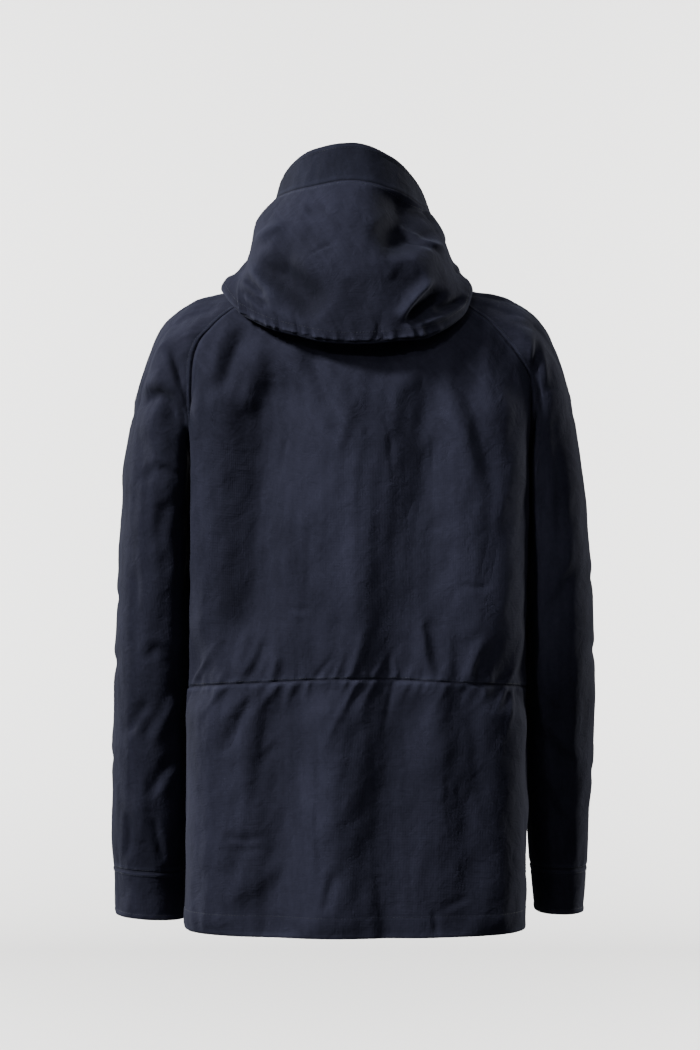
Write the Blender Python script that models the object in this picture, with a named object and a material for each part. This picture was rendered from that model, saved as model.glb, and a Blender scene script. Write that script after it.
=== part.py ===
"""Mountain parka as it is worn: hood down, front closed, arms hanging.

Metres, +Z up, the front toward -Y and the wearer's left toward +X. The origin is in the middle of the
neck's base, where the wearer's shoulders carry the coat. Every piece of cloth is a wall between an outer
surface and the same surface moved in by the cloth's thickness. Neighbouring pieces read one shared
surface at one shared seam and stop half a seam gap short of it.
"""

import math

import bmesh
import bpy
import numpy as np
from mathutils import Vector

WALL = 0.0018
SEAM_GAP = 0.0004
LEFT, RIGHT = 1, -1
BACK, FRONT = 1, -1

NAVY = (0.0132, 0.0171, 0.0273)
NAVY_DEEP = (0.0110, 0.0144, 0.0232)
SNAP_METAL = (0.075, 0.078, 0.085)


class Table:
    """Rows of numbers under named columns, read anywhere along the first column by a smooth curve."""

    def __init__(self, columns, rows):
        self.columns = columns.split()
        self.rows = np.array(rows, float)

    def at(self, column, place):
        return smooth(place, self.rows[:, 0], self.rows[:, self.columns.index(column)])


def smooth(place, knots, values):
    """A monotone cubic curve through (knots, values), level beyond its ends."""
    place = np.clip(np.asarray(place, float), knots[0], knots[-1])
    gap = np.diff(knots)
    slope = np.diff(values) / gap
    before, after = slope[:-1], slope[1:]
    same_way = before * after > 0
    total = np.where(same_way, before + after, 1.0)
    tangent = np.concatenate([slope[:1], np.where(same_way, 2 * before * after / total, 0.0), slope[-1:]])
    row = np.clip(np.searchsorted(knots, place, side="right") - 1, 0, len(gap) - 1)
    part = (place - knots[row]) / gap[row]
    rest = 1 - part
    return (
        values[row] * (1 + 2 * part) * rest**2
        + values[row + 1] * (1 + 2 * rest) * part**2
        + gap[row] * part * rest * (tangent[row] * rest - tangent[row + 1] * part)
    )


def ease(value):
    """0 below 0, 1 above 1, with a soft start and end."""
    value = np.clip(value, 0, 1)
    return value * value * (3 - 2 * value)


# ------------------------------------------------------------------------------------------- sizes

HEM_HEIGHT = -0.772
WAIST_HEIGHT = -0.497
WAIST_RISE = 0.016
UNDERARM_HEIGHT = -0.215
NECK_POINT_HEIGHT = -0.016

BODY = Table(
    "height half_width back front shift middle squareness",
    [
        (-0.790, 0.198, 0.118, 0.168, -0.004, 0.022, 2.50),
        (-0.640, 0.197, 0.112, 0.166, -0.005, 0.022, 2.50),
        (-0.497, 0.196, 0.106, 0.162, -0.006, 0.022, 2.45),
        (-0.350, 0.195, 0.108, 0.164, -0.008, 0.022, 2.40),
        (-0.215, 0.195, 0.108, 0.158, -0.010, 0.022, 2.35),
        (-0.150, 0.205, 0.105, 0.148, -0.009, 0.022, 2.35),
        (-0.120, 0.208, 0.101, 0.138, -0.007, 0.020, 2.35),
        (-0.080, 0.198, 0.095, 0.116, -0.004, 0.014, 2.35),
        (-0.050, 0.159, 0.088, 0.094, -0.002, 0.008, 2.30),
        (-0.032, 0.120, 0.079, 0.078, 0.000, 0.004, 2.25),
        (-0.020, 0.096, 0.071, 0.066, 0.000, 0.001, 2.20),
        (-0.008, 0.078, 0.064, 0.056, 0.000, 0.000, 2.20),
        (0.004, 0.056, 0.058, 0.046, 0.000, 0.000, 2.20),
        (0.012, 0.042, 0.054, 0.040, 0.000, 0.000, 2.20),
    ],
)

RAGLAN = Table(
    "height back_left back_right front",
    [
        (-0.215, 90, 90, 90),
        (-0.200, 84, 86, 97),
        (-0.180, 80, 82, 102),
        (-0.147, 77, 79, 106),
        (-0.120, 75, 74, 110),
        (-0.097, 73, 70, 114),
        (-0.078, 69, 67, 118),
        (-0.048, 65, 63, 120),
        (-0.031, 66, 65, 117),
        (NECK_POINT_HEIGHT, 68, 68, 112),
    ],
)

NECKLINE = Table(
    "azimuth height",
    [
        (0, -0.006),
        (68, NECK_POINT_HEIGHT),
        (90, -0.021),
        (112, -0.026),
        (135, -0.035),
        (155, -0.054),
        (180, -0.068),
    ],
)

BODY_FOLDS = Table(
    "face x_top z_top x_bottom z_bottom width depth",
    [
        (BACK, 0.115, -0.100, 0.108, -0.480, 0.026, -0.007),
        (BACK, -0.050, -0.130, -0.045, -0.900, 0.026, -0.008),
        (BACK, -0.100, -0.220, -0.092, -0.850, 0.024, 0.005),
        (BACK, 0.050, -0.500, 0.110, -0.800, 0.026, -0.006),
        (BACK, 0.020, -0.300, 0.010, -0.900, 0.026, 0.004),
        (FRONT, 0.110, -0.160, 0.095, -0.700, 0.028, -0.006),
        (FRONT, -0.115, -0.180, -0.100, -0.640, 0.026, -0.006),
        (FRONT, 0.075, -0.420, 0.120, -0.900, 0.024, 0.005),
        (FRONT, -0.080, -0.380, -0.130, -0.900, 0.026, 0.004),
    ],
)

SLEEVE_LEFT = Table(
    "height x y half_width half_depth tilt",
    [
        (-0.773, 0.2380, -0.070, 0.0430, 0.0495, 0.06),
        (-0.716, 0.2395, -0.067, 0.0440, 0.0535, 0.06),
        (-0.640, 0.2355, -0.061, 0.0490, 0.0610, 0.04),
        (-0.500, 0.2320, -0.050, 0.0500, 0.0720, 0.00),
        (-0.400, 0.2285, -0.041, 0.0495, 0.0780, 0.00),
        (-0.300, 0.2220, -0.031, 0.0495, 0.0815, 0.00),
        (-0.260, 0.2190, -0.028, 0.0500, 0.0825, 0.00),
    ],
)

SLEEVE_RIGHT = Table(
    "height x y half_width half_depth tilt",
    [
        (-0.768, 0.2460, -0.070, 0.0300, 0.0545, 0.00),
        (-0.712, 0.2450, -0.067, 0.0340, 0.0575, 0.00),
        (-0.620, 0.2420, -0.060, 0.0420, 0.0630, 0.00),
        (-0.500, 0.2390, -0.050, 0.0480, 0.0720, 0.00),
        (-0.400, 0.2360, -0.041, 0.0490, 0.0780, 0.00),
        (-0.300, 0.2280, -0.031, 0.0480, 0.0815, 0.00),
        (-0.260, 0.2240, -0.028, 0.0480, 0.0825, 0.00),
    ],
)
SLEEVE_TWIST = Table(
    "turn lead",
    [(0, 0.045), (0.14, 0.070), (0.30, 0.040), (0.42, 0), (0.85, 0), (1, 0.045)],
)
SLEEVE_CLEARANCE = 0.002
SLEEVE_BLEND = 0.016
SLEEVE_SQUARENESS = 2.2
CUFF_TOP = {LEFT: -0.716, RIGHT: -0.712}
CUFF_BOTTOM = {LEFT: -0.773, RIGHT: -0.766}
SLEEVE_HEAD_HEIGHT = -0.260
NECK_SHARE = 0.08

SLEEVE_FOLDS = Table(
    "side face x_top z_top x_bottom z_bottom width depth",
    [
        (LEFT, BACK, 0.262, -0.330, 0.205, -0.380, 0.018, -0.004),
        (LEFT, BACK, 0.210, -0.500, 0.265, -0.560, 0.018, -0.004),
        (RIGHT, BACK, -0.236, -0.180, -0.245, -0.340, 0.018, -0.004),
        (RIGHT, BACK, -0.265, -0.360, -0.215, -0.430, 0.018, -0.004),
        (LEFT, FRONT, 0.255, -0.360, 0.205, -0.420, 0.018, -0.004),
        (RIGHT, FRONT, -0.260, -0.340, -0.210, -0.390, 0.018, -0.004),
    ],
)

HOOD_POUCH = Table(
    "azimuth roll_out roll_up fold_out fold_height bulge_out bulge_height",
    [
        (-180, 0.0945, -0.052, 0.093, -0.044, 0.091, -0.034),
        (-140, 0.096, -0.022, 0.100, -0.016, 0.098, -0.004),
        (-110, 0.103, -0.010, 0.112, -0.003, 0.109, 0.012),
        (-80, 0.106, 0.000, 0.120, -0.022, 0.112, 0.010),
        (-63, 0.105, 0.005, 0.151, -0.052, 0.132, -0.012),
        (-52, 0.101, 0.010, 0.158, -0.073, 0.144, -0.022),
        (-28, 0.086, 0.012, 0.156, -0.100, 0.160, -0.034),
        (0, 0.076, 0.012, 0.148, -0.106, 0.160, -0.034),
        (28, 0.086, 0.012, 0.152, -0.094, 0.158, -0.028),
        (52, 0.101, 0.010, 0.160, -0.068, 0.149, -0.016),
        (64, 0.105, 0.005, 0.160, -0.046, 0.134, -0.006),
        (80, 0.106, 0.000, 0.124, -0.020, 0.116, 0.010),
        (110, 0.103, -0.010, 0.112, -0.003, 0.109, 0.012),
        (140, 0.096, -0.022, 0.100, -0.016, 0.098, -0.004),
        (180, 0.0945, -0.052, 0.093, -0.044, 0.091, -0.034),
    ],
)

HOOD_RIM = Table(
    "azimuth brow_out brow_height seam_out seam_height edge_out edge_height",
    [
        (-180, 0.089, -0.027, 0.087, -0.020, 0.083, -0.006),
        (-140, 0.096, 0.006, 0.092, 0.014, 0.086, 0.026),
        (-110, 0.104, 0.024, 0.096, 0.036, 0.090, 0.048),
        (-80, 0.105, 0.036, 0.092, 0.056, 0.087, 0.070),
        (-55, 0.122, 0.030, 0.100, 0.059, 0.089, 0.090),
        (-28, 0.138, 0.026, 0.106, 0.073, 0.092, 0.114),
        (0, 0.142, 0.028, 0.108, 0.083, 0.094, 0.127),
        (28, 0.140, 0.028, 0.106, 0.077, 0.092, 0.121),
        (55, 0.131, 0.036, 0.100, 0.072, 0.089, 0.104),
        (80, 0.111, 0.042, 0.092, 0.069, 0.087, 0.083),
        (110, 0.106, 0.032, 0.094, 0.044, 0.089, 0.058),
        (140, 0.096, 0.006, 0.092, 0.014, 0.086, 0.026),
        (180, 0.089, -0.027, 0.087, -0.020, 0.083, -0.006),
    ],
)
HOOD_SIDE_SEAM = 80
HOOD_CLEARANCE = 0.008
NECK_SEAM_GAP = 0.0010
HOOD_FOLD_HALF_WIDTH = 0.005
HOOD_ROLL_HEIGHT = 0.005
HOOD_FOLD_DROP = 0.010
HOOD_FOLD_END = 124
HOOD_SEAM_GAP = 0.0006

HOOD_FOLDS = Table(
    "face x_top z_top x_bottom z_bottom width depth",
    [
        (BACK, 0.125, 0.000, 0.020, -0.066, 0.022, -0.010),
        (BACK, 0.075, 0.050, 0.010, -0.020, 0.024, 0.005),
        (BACK, -0.010, 0.000, -0.110, 0.014, 0.022, -0.009),
        (BACK, -0.115, -0.020, -0.030, -0.075, 0.022, 0.007),
    ],
)

FLAP_HALF_WIDTH = 0.030
FLAP_THICKNESS = 0.0030
FLAP_LIFT = 0.0007
SNAP_ROWS = (0, 4, 7, 10, 13, 17)
SNAP_RADIUS = 0.0065
SNAP_THICKNESS = 0.0028
SNAP_TAPER = 0.82
SNAP_SIDES = 12

STEP = 1e-4
BACK_COLUMNS = 20
FRONT_COLUMNS = 8
SKIRT_ROWS = 5
CHEST_ROWS = 5
NECK_COLUMNS = 2
RING_ROWS = 8
HEAD_ROWS = 5
HEAD_CROWDING = 1.2
HOOD_COLUMNS = 24
SIDE_COLUMNS = 8
NAPE_ROWS = np.array([0.0, 0.2, 0.42, 0.65, 0.88, 1.0, 1.05])
CROWN_ROWS = np.array([1.05, 1.16, 1.28, 1.41, 1.55, 1.7, 1.85, 2.0])
VISOR_ROWS = np.array([2.0, 2.5, 3.0])
HOOD_SIDE_ROWS = np.concatenate([NAPE_ROWS, CROWN_ROWS[1:], VISOR_ROWS[1:]])


# ---------------------------------------------------------------------------------------- surfaces


def fold_depth(table, x, z, keep):
    """Sum of the soft ridges and troughs that run along straight lines in the X-Z plane."""
    total = np.zeros(np.broadcast(x, z).shape)
    name = table.columns.index
    for row in table.rows[keep]:
        top = np.array([row[name("x_top")], row[name("z_top")]])
        run = np.array([row[name("x_bottom")], row[name("z_bottom")]]) - top
        length = math.hypot(*run)
        along = ((x - top[0]) * run[0] + (z - top[1]) * run[1]) / length**2
        aside = ((x - top[0]) * run[1] - (z - top[1]) * run[0]) / length
        fade = ease(along / 0.35) * ease((1 - along) / 0.35)
        total = total + row[name("depth")] * fade * np.exp(-((aside / row[name("width")]) ** 2))
    return total


def facing(azimuth, face):
    """1 where a ring faces the back (or the front), easing to 0 at its sides."""
    return ease(face * np.cos(azimuth) * 2.2)


def body_point(azimuth, height):
    """Outer surface of the body: azimuth in radians from the centre back toward the wearer's left."""
    azimuth, height = np.broadcast_arrays(np.asarray(azimuth, float), np.asarray(height, float))
    depth = np.where(np.cos(azimuth) > 0, BODY.at("back", height), BODY.at("front", height))
    power = BODY.at("squareness", height)
    across = (np.abs(np.sin(azimuth)) / BODY.at("half_width", height)) ** power
    reach = (across + (np.abs(np.cos(azimuth)) / depth) ** power) ** (-1 / power)
    for face in (BACK, FRONT):
        keep = BODY_FOLDS.rows[:, 0] == face
        folds = fold_depth(BODY_FOLDS, reach * np.sin(azimuth), height, keep)
        reach = reach + folds * facing(azimuth, face)
    x = BODY.at("shift", height) + reach * np.sin(azimuth)
    y = BODY.at("middle", height) + reach * np.cos(azimuth)
    return np.stack([x, y, height], -1)


def surface_grid(function, first, second):
    """Points of a surface function and the unit vectors across it, second direction by first."""
    points = function(first, second)
    along_first = function(first + STEP, second) - function(first - STEP, second)
    along_second = function(first, second + STEP) - function(first, second - STEP)
    normal = np.cross(along_second, along_first)
    return points, normal / np.linalg.norm(normal, axis=-1, keepdims=True)


def neck_height(azimuth):
    return NECKLINE.at("height", np.degrees(np.abs(azimuth)))


def raglan_azimuth(side, face, height):
    """Where the raglan seam crosses a height, as an azimuth on the wearer's left or right."""
    column = "front" if face == FRONT else "back_left" if side == LEFT else "back_right"
    return side * np.radians(RAGLAN.at(column, height))


def body_side(side, y, height):
    """How far out the body reaches on one side at a depth y; its middle where y is beyond the body."""
    depth = np.where(y > BODY.at("middle", height), BODY.at("back", height), BODY.at("front", height))
    power = BODY.at("squareness", height)
    share = np.clip(1 - (np.abs(y - BODY.at("middle", height)) / depth) ** power, 0, 1)
    return BODY.at("shift", height) + side * BODY.at("half_width", height) * share ** (1 / power)


def body_top(x, y):
    """Height of the body's surface under a point (x, y) near the shoulders, by halving."""
    low, high = np.full(np.shape(x), -0.300), np.zeros(np.shape(x))
    for _ in range(24):
        height = (low + high) / 2
        depth = np.where(y > BODY.at("middle", height), BODY.at("back", height), BODY.at("front", height))
        power = BODY.at("squareness", height)
        across = (np.abs(x - BODY.at("shift", height)) / BODY.at("half_width", height)) ** power
        outside = across + (np.abs(y - BODY.at("middle", height)) / depth) ** power > 1
        low, high = np.where(outside, low, height), np.where(outside, height, high)
    return (low + high) / 2


def soft_max(first, second, blend=0.004):
    """The larger of two lengths, with a rounded change from one to the other."""
    gap = first - second
    return (first + second + np.sqrt(gap * gap + blend * blend)) / 2


def armhole(side, turn):
    """Azimuth and height on the body of a sleeve's first edge; turn as in Sleeve."""
    seam_heights = RAGLAN.rows[:, 0]
    face = np.where(turn <= 0.5, BACK, FRONT)
    share = np.where(face == BACK, turn, 1 - turn)
    seam_share = np.clip(share / (0.5 - NECK_SHARE), 0, 1)
    height = np.interp(seam_share, np.linspace(0, 1, len(seam_heights)), seam_heights)
    back_azimuth = raglan_azimuth(side, BACK, height)
    front_azimuth = raglan_azimuth(side, FRONT, height)
    azimuth = np.where(face == BACK, back_azimuth, front_azimuth)
    bottom, top = seam_heights[[0, -1]]
    front_top = neck_height(np.radians(RAGLAN.rows[-1, RAGLAN.columns.index("front")]))
    front_height = bottom + (height - bottom) * (front_top - bottom) / (top - bottom)
    height = np.where(face == FRONT, front_height, height)
    neck_share = np.clip((share - 0.5 + NECK_SHARE) / NECK_SHARE, 0, 1)
    on_neck = neck_share > 0
    azimuth = np.where(on_neck, azimuth + (side * math.pi / 2 - azimuth) * neck_share, azimuth)
    height = np.where(on_neck, neck_height(azimuth), height)
    return azimuth, height


class Sleeve:
    """A raglan sleeve from its seam on the body, over the shoulder, down to the cuff.

    turn runs round the sleeve: 0 at the underarm seam, 0.5 at the overarm seam by way of the back, 1 at
    the underarm again. down runs from 0 at the body, 1 at the sleeve's head, to 2 at the cuff's bottom.
    """

    def __init__(self, side, rings):
        self.side = side
        self.rings = rings

    def ring_point(self, turn, height):
        """Point of the arm's ring at a height; the twist leads the low part of the armhole round it."""
        angle = 2 * math.pi * (turn + SLEEVE_TWIST.at("lead", turn))
        half_width = self.rings.at("half_width", height)
        half_depth = self.rings.at("half_depth", height)
        power = SLEEVE_SQUARENESS
        across = (np.abs(np.cos(angle)) / half_width) ** power
        reach = (across + (np.abs(np.sin(angle)) / half_depth) ** power) ** (-1 / power)
        x = self.side * (self.rings.at("x", height) - reach * np.cos(angle))
        z = height + self.rings.at("tilt", height) * (self.side * x - self.rings.at("x", height))
        for face in (BACK, FRONT):
            keep = (SLEEVE_FOLDS.rows[:, 0] == self.side) & (SLEEVE_FOLDS.rows[:, 1] == face)
            folds = fold_depth(SLEEVE_FOLDS, x, z, keep)
            reach = reach + folds * facing(angle - math.pi / 2, face)
        x = self.rings.at("x", height) - reach * np.cos(angle)
        y = self.rings.at("y", height) + reach * np.sin(angle)
        beside = self.side * body_side(self.side, y, height) + SLEEVE_CLEARANCE
        x = soft_max(x, beside, SLEEVE_BLEND)
        return np.stack([self.side * x, y, z], -1)

    def point(self, turn, down):
        turn, down = np.broadcast_arrays(np.asarray(turn, float) % 1.0, np.asarray(down, float))
        bottom = CUFF_BOTTOM[self.side]
        ring_height = SLEEVE_HEAD_HEIGHT + np.clip(down - 1, 0, 1) * (bottom - SLEEVE_HEAD_HEIGHT)
        ring = self.ring_point(turn, ring_height)
        azimuth, height = armhole(self.side, turn)
        first = body_point(azimuth, height)
        outward = self.leaving(azimuth, height)
        reach = np.linalg.norm(ring - first, axis=-1, keepdims=True)
        share = np.clip(down, 0, 1)[..., None]
        from_underarm = np.minimum(turn, 1 - turn)[..., None]
        out_pull = reach * (0.5 + 0.5 * ease((from_underarm - 0.10) / 0.20))
        down_pull = reach * (1.0 + 1.6 * ease(from_underarm * 2.6))
        downward = np.array([self.side * 0.1, 0.0, -1.0])
        rest = 1 - share
        head = (
            first * (1 + 2 * share) * rest**2
            + ring * (1 + 2 * rest) * share**2
            + share * rest * (outward * out_pull * rest - downward * down_pull * share)
        )
        return np.where((down >= 1)[..., None], ring, head)

    def leaving(self, azimuth, height):
        """The way the sleeve leaves the body: sideways, and flush with it except down at the armpit."""
        normal = surface_grid(body_point, azimuth, height)[1]
        sideways = np.zeros_like(normal)
        sideways[..., 0] = self.side
        flush = ease((height + 0.11) / 0.06)[..., None]
        way = sideways - normal * np.sum(sideways * normal, -1, keepdims=True) * flush
        return way / np.linalg.norm(way, axis=-1, keepdims=True)


class Hood:
    """The hood lying open behind the neck, as sections round the neck.

    along runs up each section: 0 at the neckline, 1 at the bottom fold, 2 at the visor's seam and 3 at
    the face edge.
    """

    knots = np.array([0.0, 0.3, 0.6, 0.88, 1.0, 1.08, 1.4, 1.75, 2.0, 3.0])

    def point(self, azimuth, along):
        azimuth, along = np.broadcast_arrays(np.asarray(azimuth, float), np.asarray(along, float))
        degrees = np.degrees(azimuth)
        neck = body_point(azimuth, neck_height(azimuth))
        neck_out = np.hypot(neck[..., 0], neck[..., 1])
        fold_out = HOOD_POUCH.at("fold_out", degrees)
        roll_out = HOOD_POUCH.at("roll_out", degrees)
        fold_height = self.clear(azimuth, fold_out, HOOD_POUCH.at("fold_height", degrees))
        roll_up = self.clear(azimuth, roll_out, HOOD_POUCH.at("roll_up", degrees))
        rest_out = (roll_out + fold_out) / 2
        rest_height = self.clear(azimuth, rest_out, (roll_up + fold_height) / 2)
        pouch = ease((rest_height - fold_height) / HOOD_FOLD_DROP)
        open_width = HOOD_FOLD_HALF_WIDTH * ease((HOOD_FOLD_END - np.abs(degrees)) / 24)
        inner_height = fold_height + HOOD_ROLL_HEIGHT * (1.3 * pouch - 0.3)
        outer_height = fold_height + HOOD_ROLL_HEIGHT * (0.5 * pouch + 0.5)
        outs = [
            neck_out,
            roll_out,
            rest_out,
            fold_out - open_width,
            fold_out,
            fold_out + open_width,
            HOOD_POUCH.at("bulge_out", degrees),
            HOOD_RIM.at("brow_out", degrees),
            HOOD_RIM.at("seam_out", degrees),
            HOOD_RIM.at("edge_out", degrees),
        ]
        heights = [
            neck[..., 2] + NECK_SEAM_GAP,
            roll_up,
            rest_height,
            inner_height,
            fold_height,
            outer_height,
            HOOD_POUCH.at("bulge_height", degrees),
            HOOD_RIM.at("brow_height", degrees),
            HOOD_RIM.at("seam_height", degrees),
            HOOD_RIM.at("edge_height", degrees),
        ]
        out = through(self.knots, outs, along)
        height = through(self.knots, heights, along)
        seen = ease((along - 1.1) / 0.2) * ease((2.0 - along) / 0.15) * facing(azimuth, BACK)
        keep = HOOD_FOLDS.rows[:, 0] == BACK
        out = out + seen * fold_depth(HOOD_FOLDS, out * np.sin(azimuth), height, keep)
        return np.stack([out * np.sin(azimuth), out * np.cos(azimuth), height], -1)

    def clear(self, azimuth, out, height):
        """A height no lower than the shoulders allow."""
        return soft_max(height, body_top(out * np.sin(azimuth), out * np.cos(azimuth)) + HOOD_CLEARANCE)


def through(knots, values, place):
    """A monotone cubic curve through values given as arrays, one per knot."""
    values = np.stack(np.broadcast_arrays(*values))
    place = np.clip(place, knots[0], knots[-1])
    gap = np.diff(knots)
    slope = np.diff(values, axis=0) / gap.reshape(-1, *[1] * (values.ndim - 1))
    before, after = slope[:-1], slope[1:]
    same_way = before * after > 0
    total = np.where(same_way, before + after, 1.0)
    inner = np.where(same_way, 2 * before * after / total, 0.0)
    tangent = np.concatenate([slope[:1], inner, slope[-1:]])
    row = np.clip(np.searchsorted(knots, place, side="right") - 1, 0, len(gap) - 1)

    def pick(table, index):
        return np.take_along_axis(table, index[None], 0)[0]

    part = (place - knots[row]) / gap[row]
    rest = 1 - part
    return (
        pick(values, row) * (1 + 2 * part) * rest**2
        + pick(values, row + 1) * (1 + 2 * rest) * part**2
        + gap[row] * part * rest * (pick(tangent, row) * rest - pick(tangent, row + 1) * part)
    )


# ------------------------------------------------------------------------------------------ solids


def material(name, colour, roughness, metallic=0.0):
    made = bpy.data.materials.new(name)
    made.use_nodes = True
    shader = made.node_tree.nodes["Principled BSDF"]
    shader.inputs["Base Color"].default_value = (*colour, 1.0)
    shader.inputs["Roughness"].default_value = roughness
    shader.inputs["Metallic"].default_value = metallic
    made.diffuse_color = (*colour, 1.0)
    return made


def add_mesh(name, verts, faces, surface, collection):
    mesh = bpy.data.meshes.new(name)
    mesh.from_pydata([tuple(v) for v in verts], [], faces)
    mesh.validate()
    mesh.shade_smooth()
    mesh.set_sharp_from_angle(angle=math.radians(50))
    mesh.materials.append(surface)
    made = bpy.data.objects.new(name, mesh)
    collection.objects.link(made)
    return made


def cloth(name, outer, normal, surface, collection, thickness=WALL, closed=False):
    """A wall of cloth from a grid of outer points and the unit vectors out of them.

    The grid's first index runs along the piece and its second across it; closed joins the last column
    to the first. The faces are laid by hand because the sections differ along every piece.
    """
    rows, columns = outer.shape[:2]
    verts = np.concatenate([outer.reshape(-1, 3), (outer - normal * thickness).reshape(-1, 3)])
    count = rows * columns
    spans = columns if closed else columns - 1
    faces = []
    for i in range(rows - 1):
        for j in range(spans):
            a, b = i * columns + j, i * columns + (j + 1) % columns
            c, d = b + columns, a + columns
            faces.append((a, b, c, d))
            faces.append((a + count, d + count, c + count, b + count))
    edges = [((0, j), (0, j + 1)) for j in range(spans)]
    edges += [((rows - 1, j + 1), (rows - 1, j)) for j in range(spans)]
    if not closed:
        edges += [((i + 1, 0), (i, 0)) for i in range(rows - 1)]
        edges += [((i, columns - 1), (i + 1, columns - 1)) for i in range(rows - 1)]
    for (i, j), (k, m) in edges:
        a, b = i * columns + j % columns, k * columns + m % columns
        faces.append((b, a, a + count, b + count))
    made = add_mesh(name, verts, faces, surface, collection)
    face_outward(made)
    return made


def face_outward(made):
    """Turns a closed mesh's faces outward."""
    shape = bmesh.new()
    shape.from_mesh(made.data)
    bmesh.ops.recalc_face_normals(shape, faces=shape.faces)
    if shape.calc_volume(signed=True) < 0:
        bmesh.ops.reverse_faces(shape, faces=shape.faces)
    shape.to_mesh(made.data)
    shape.free()


def pull_in(points, rim, amount=SEAM_GAP / 2):
    """Moves a grid's named edges back along its own surface, to leave half a seam gap."""
    points = points.copy()
    for edge in rim:
        at, inward = {
            "first_row": ((0, slice(None)), (1, slice(None))),
            "last_row": ((-1, slice(None)), (-2, slice(None))),
            "first_column": ((slice(None), 0), (slice(None), 1)),
            "last_column": ((slice(None), -1), (slice(None), -2)),
        }[edge]
        way = points[inward] - points[at]
        points[at] += way / np.linalg.norm(way, axis=-1, keepdims=True) * amount
    return points


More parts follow.
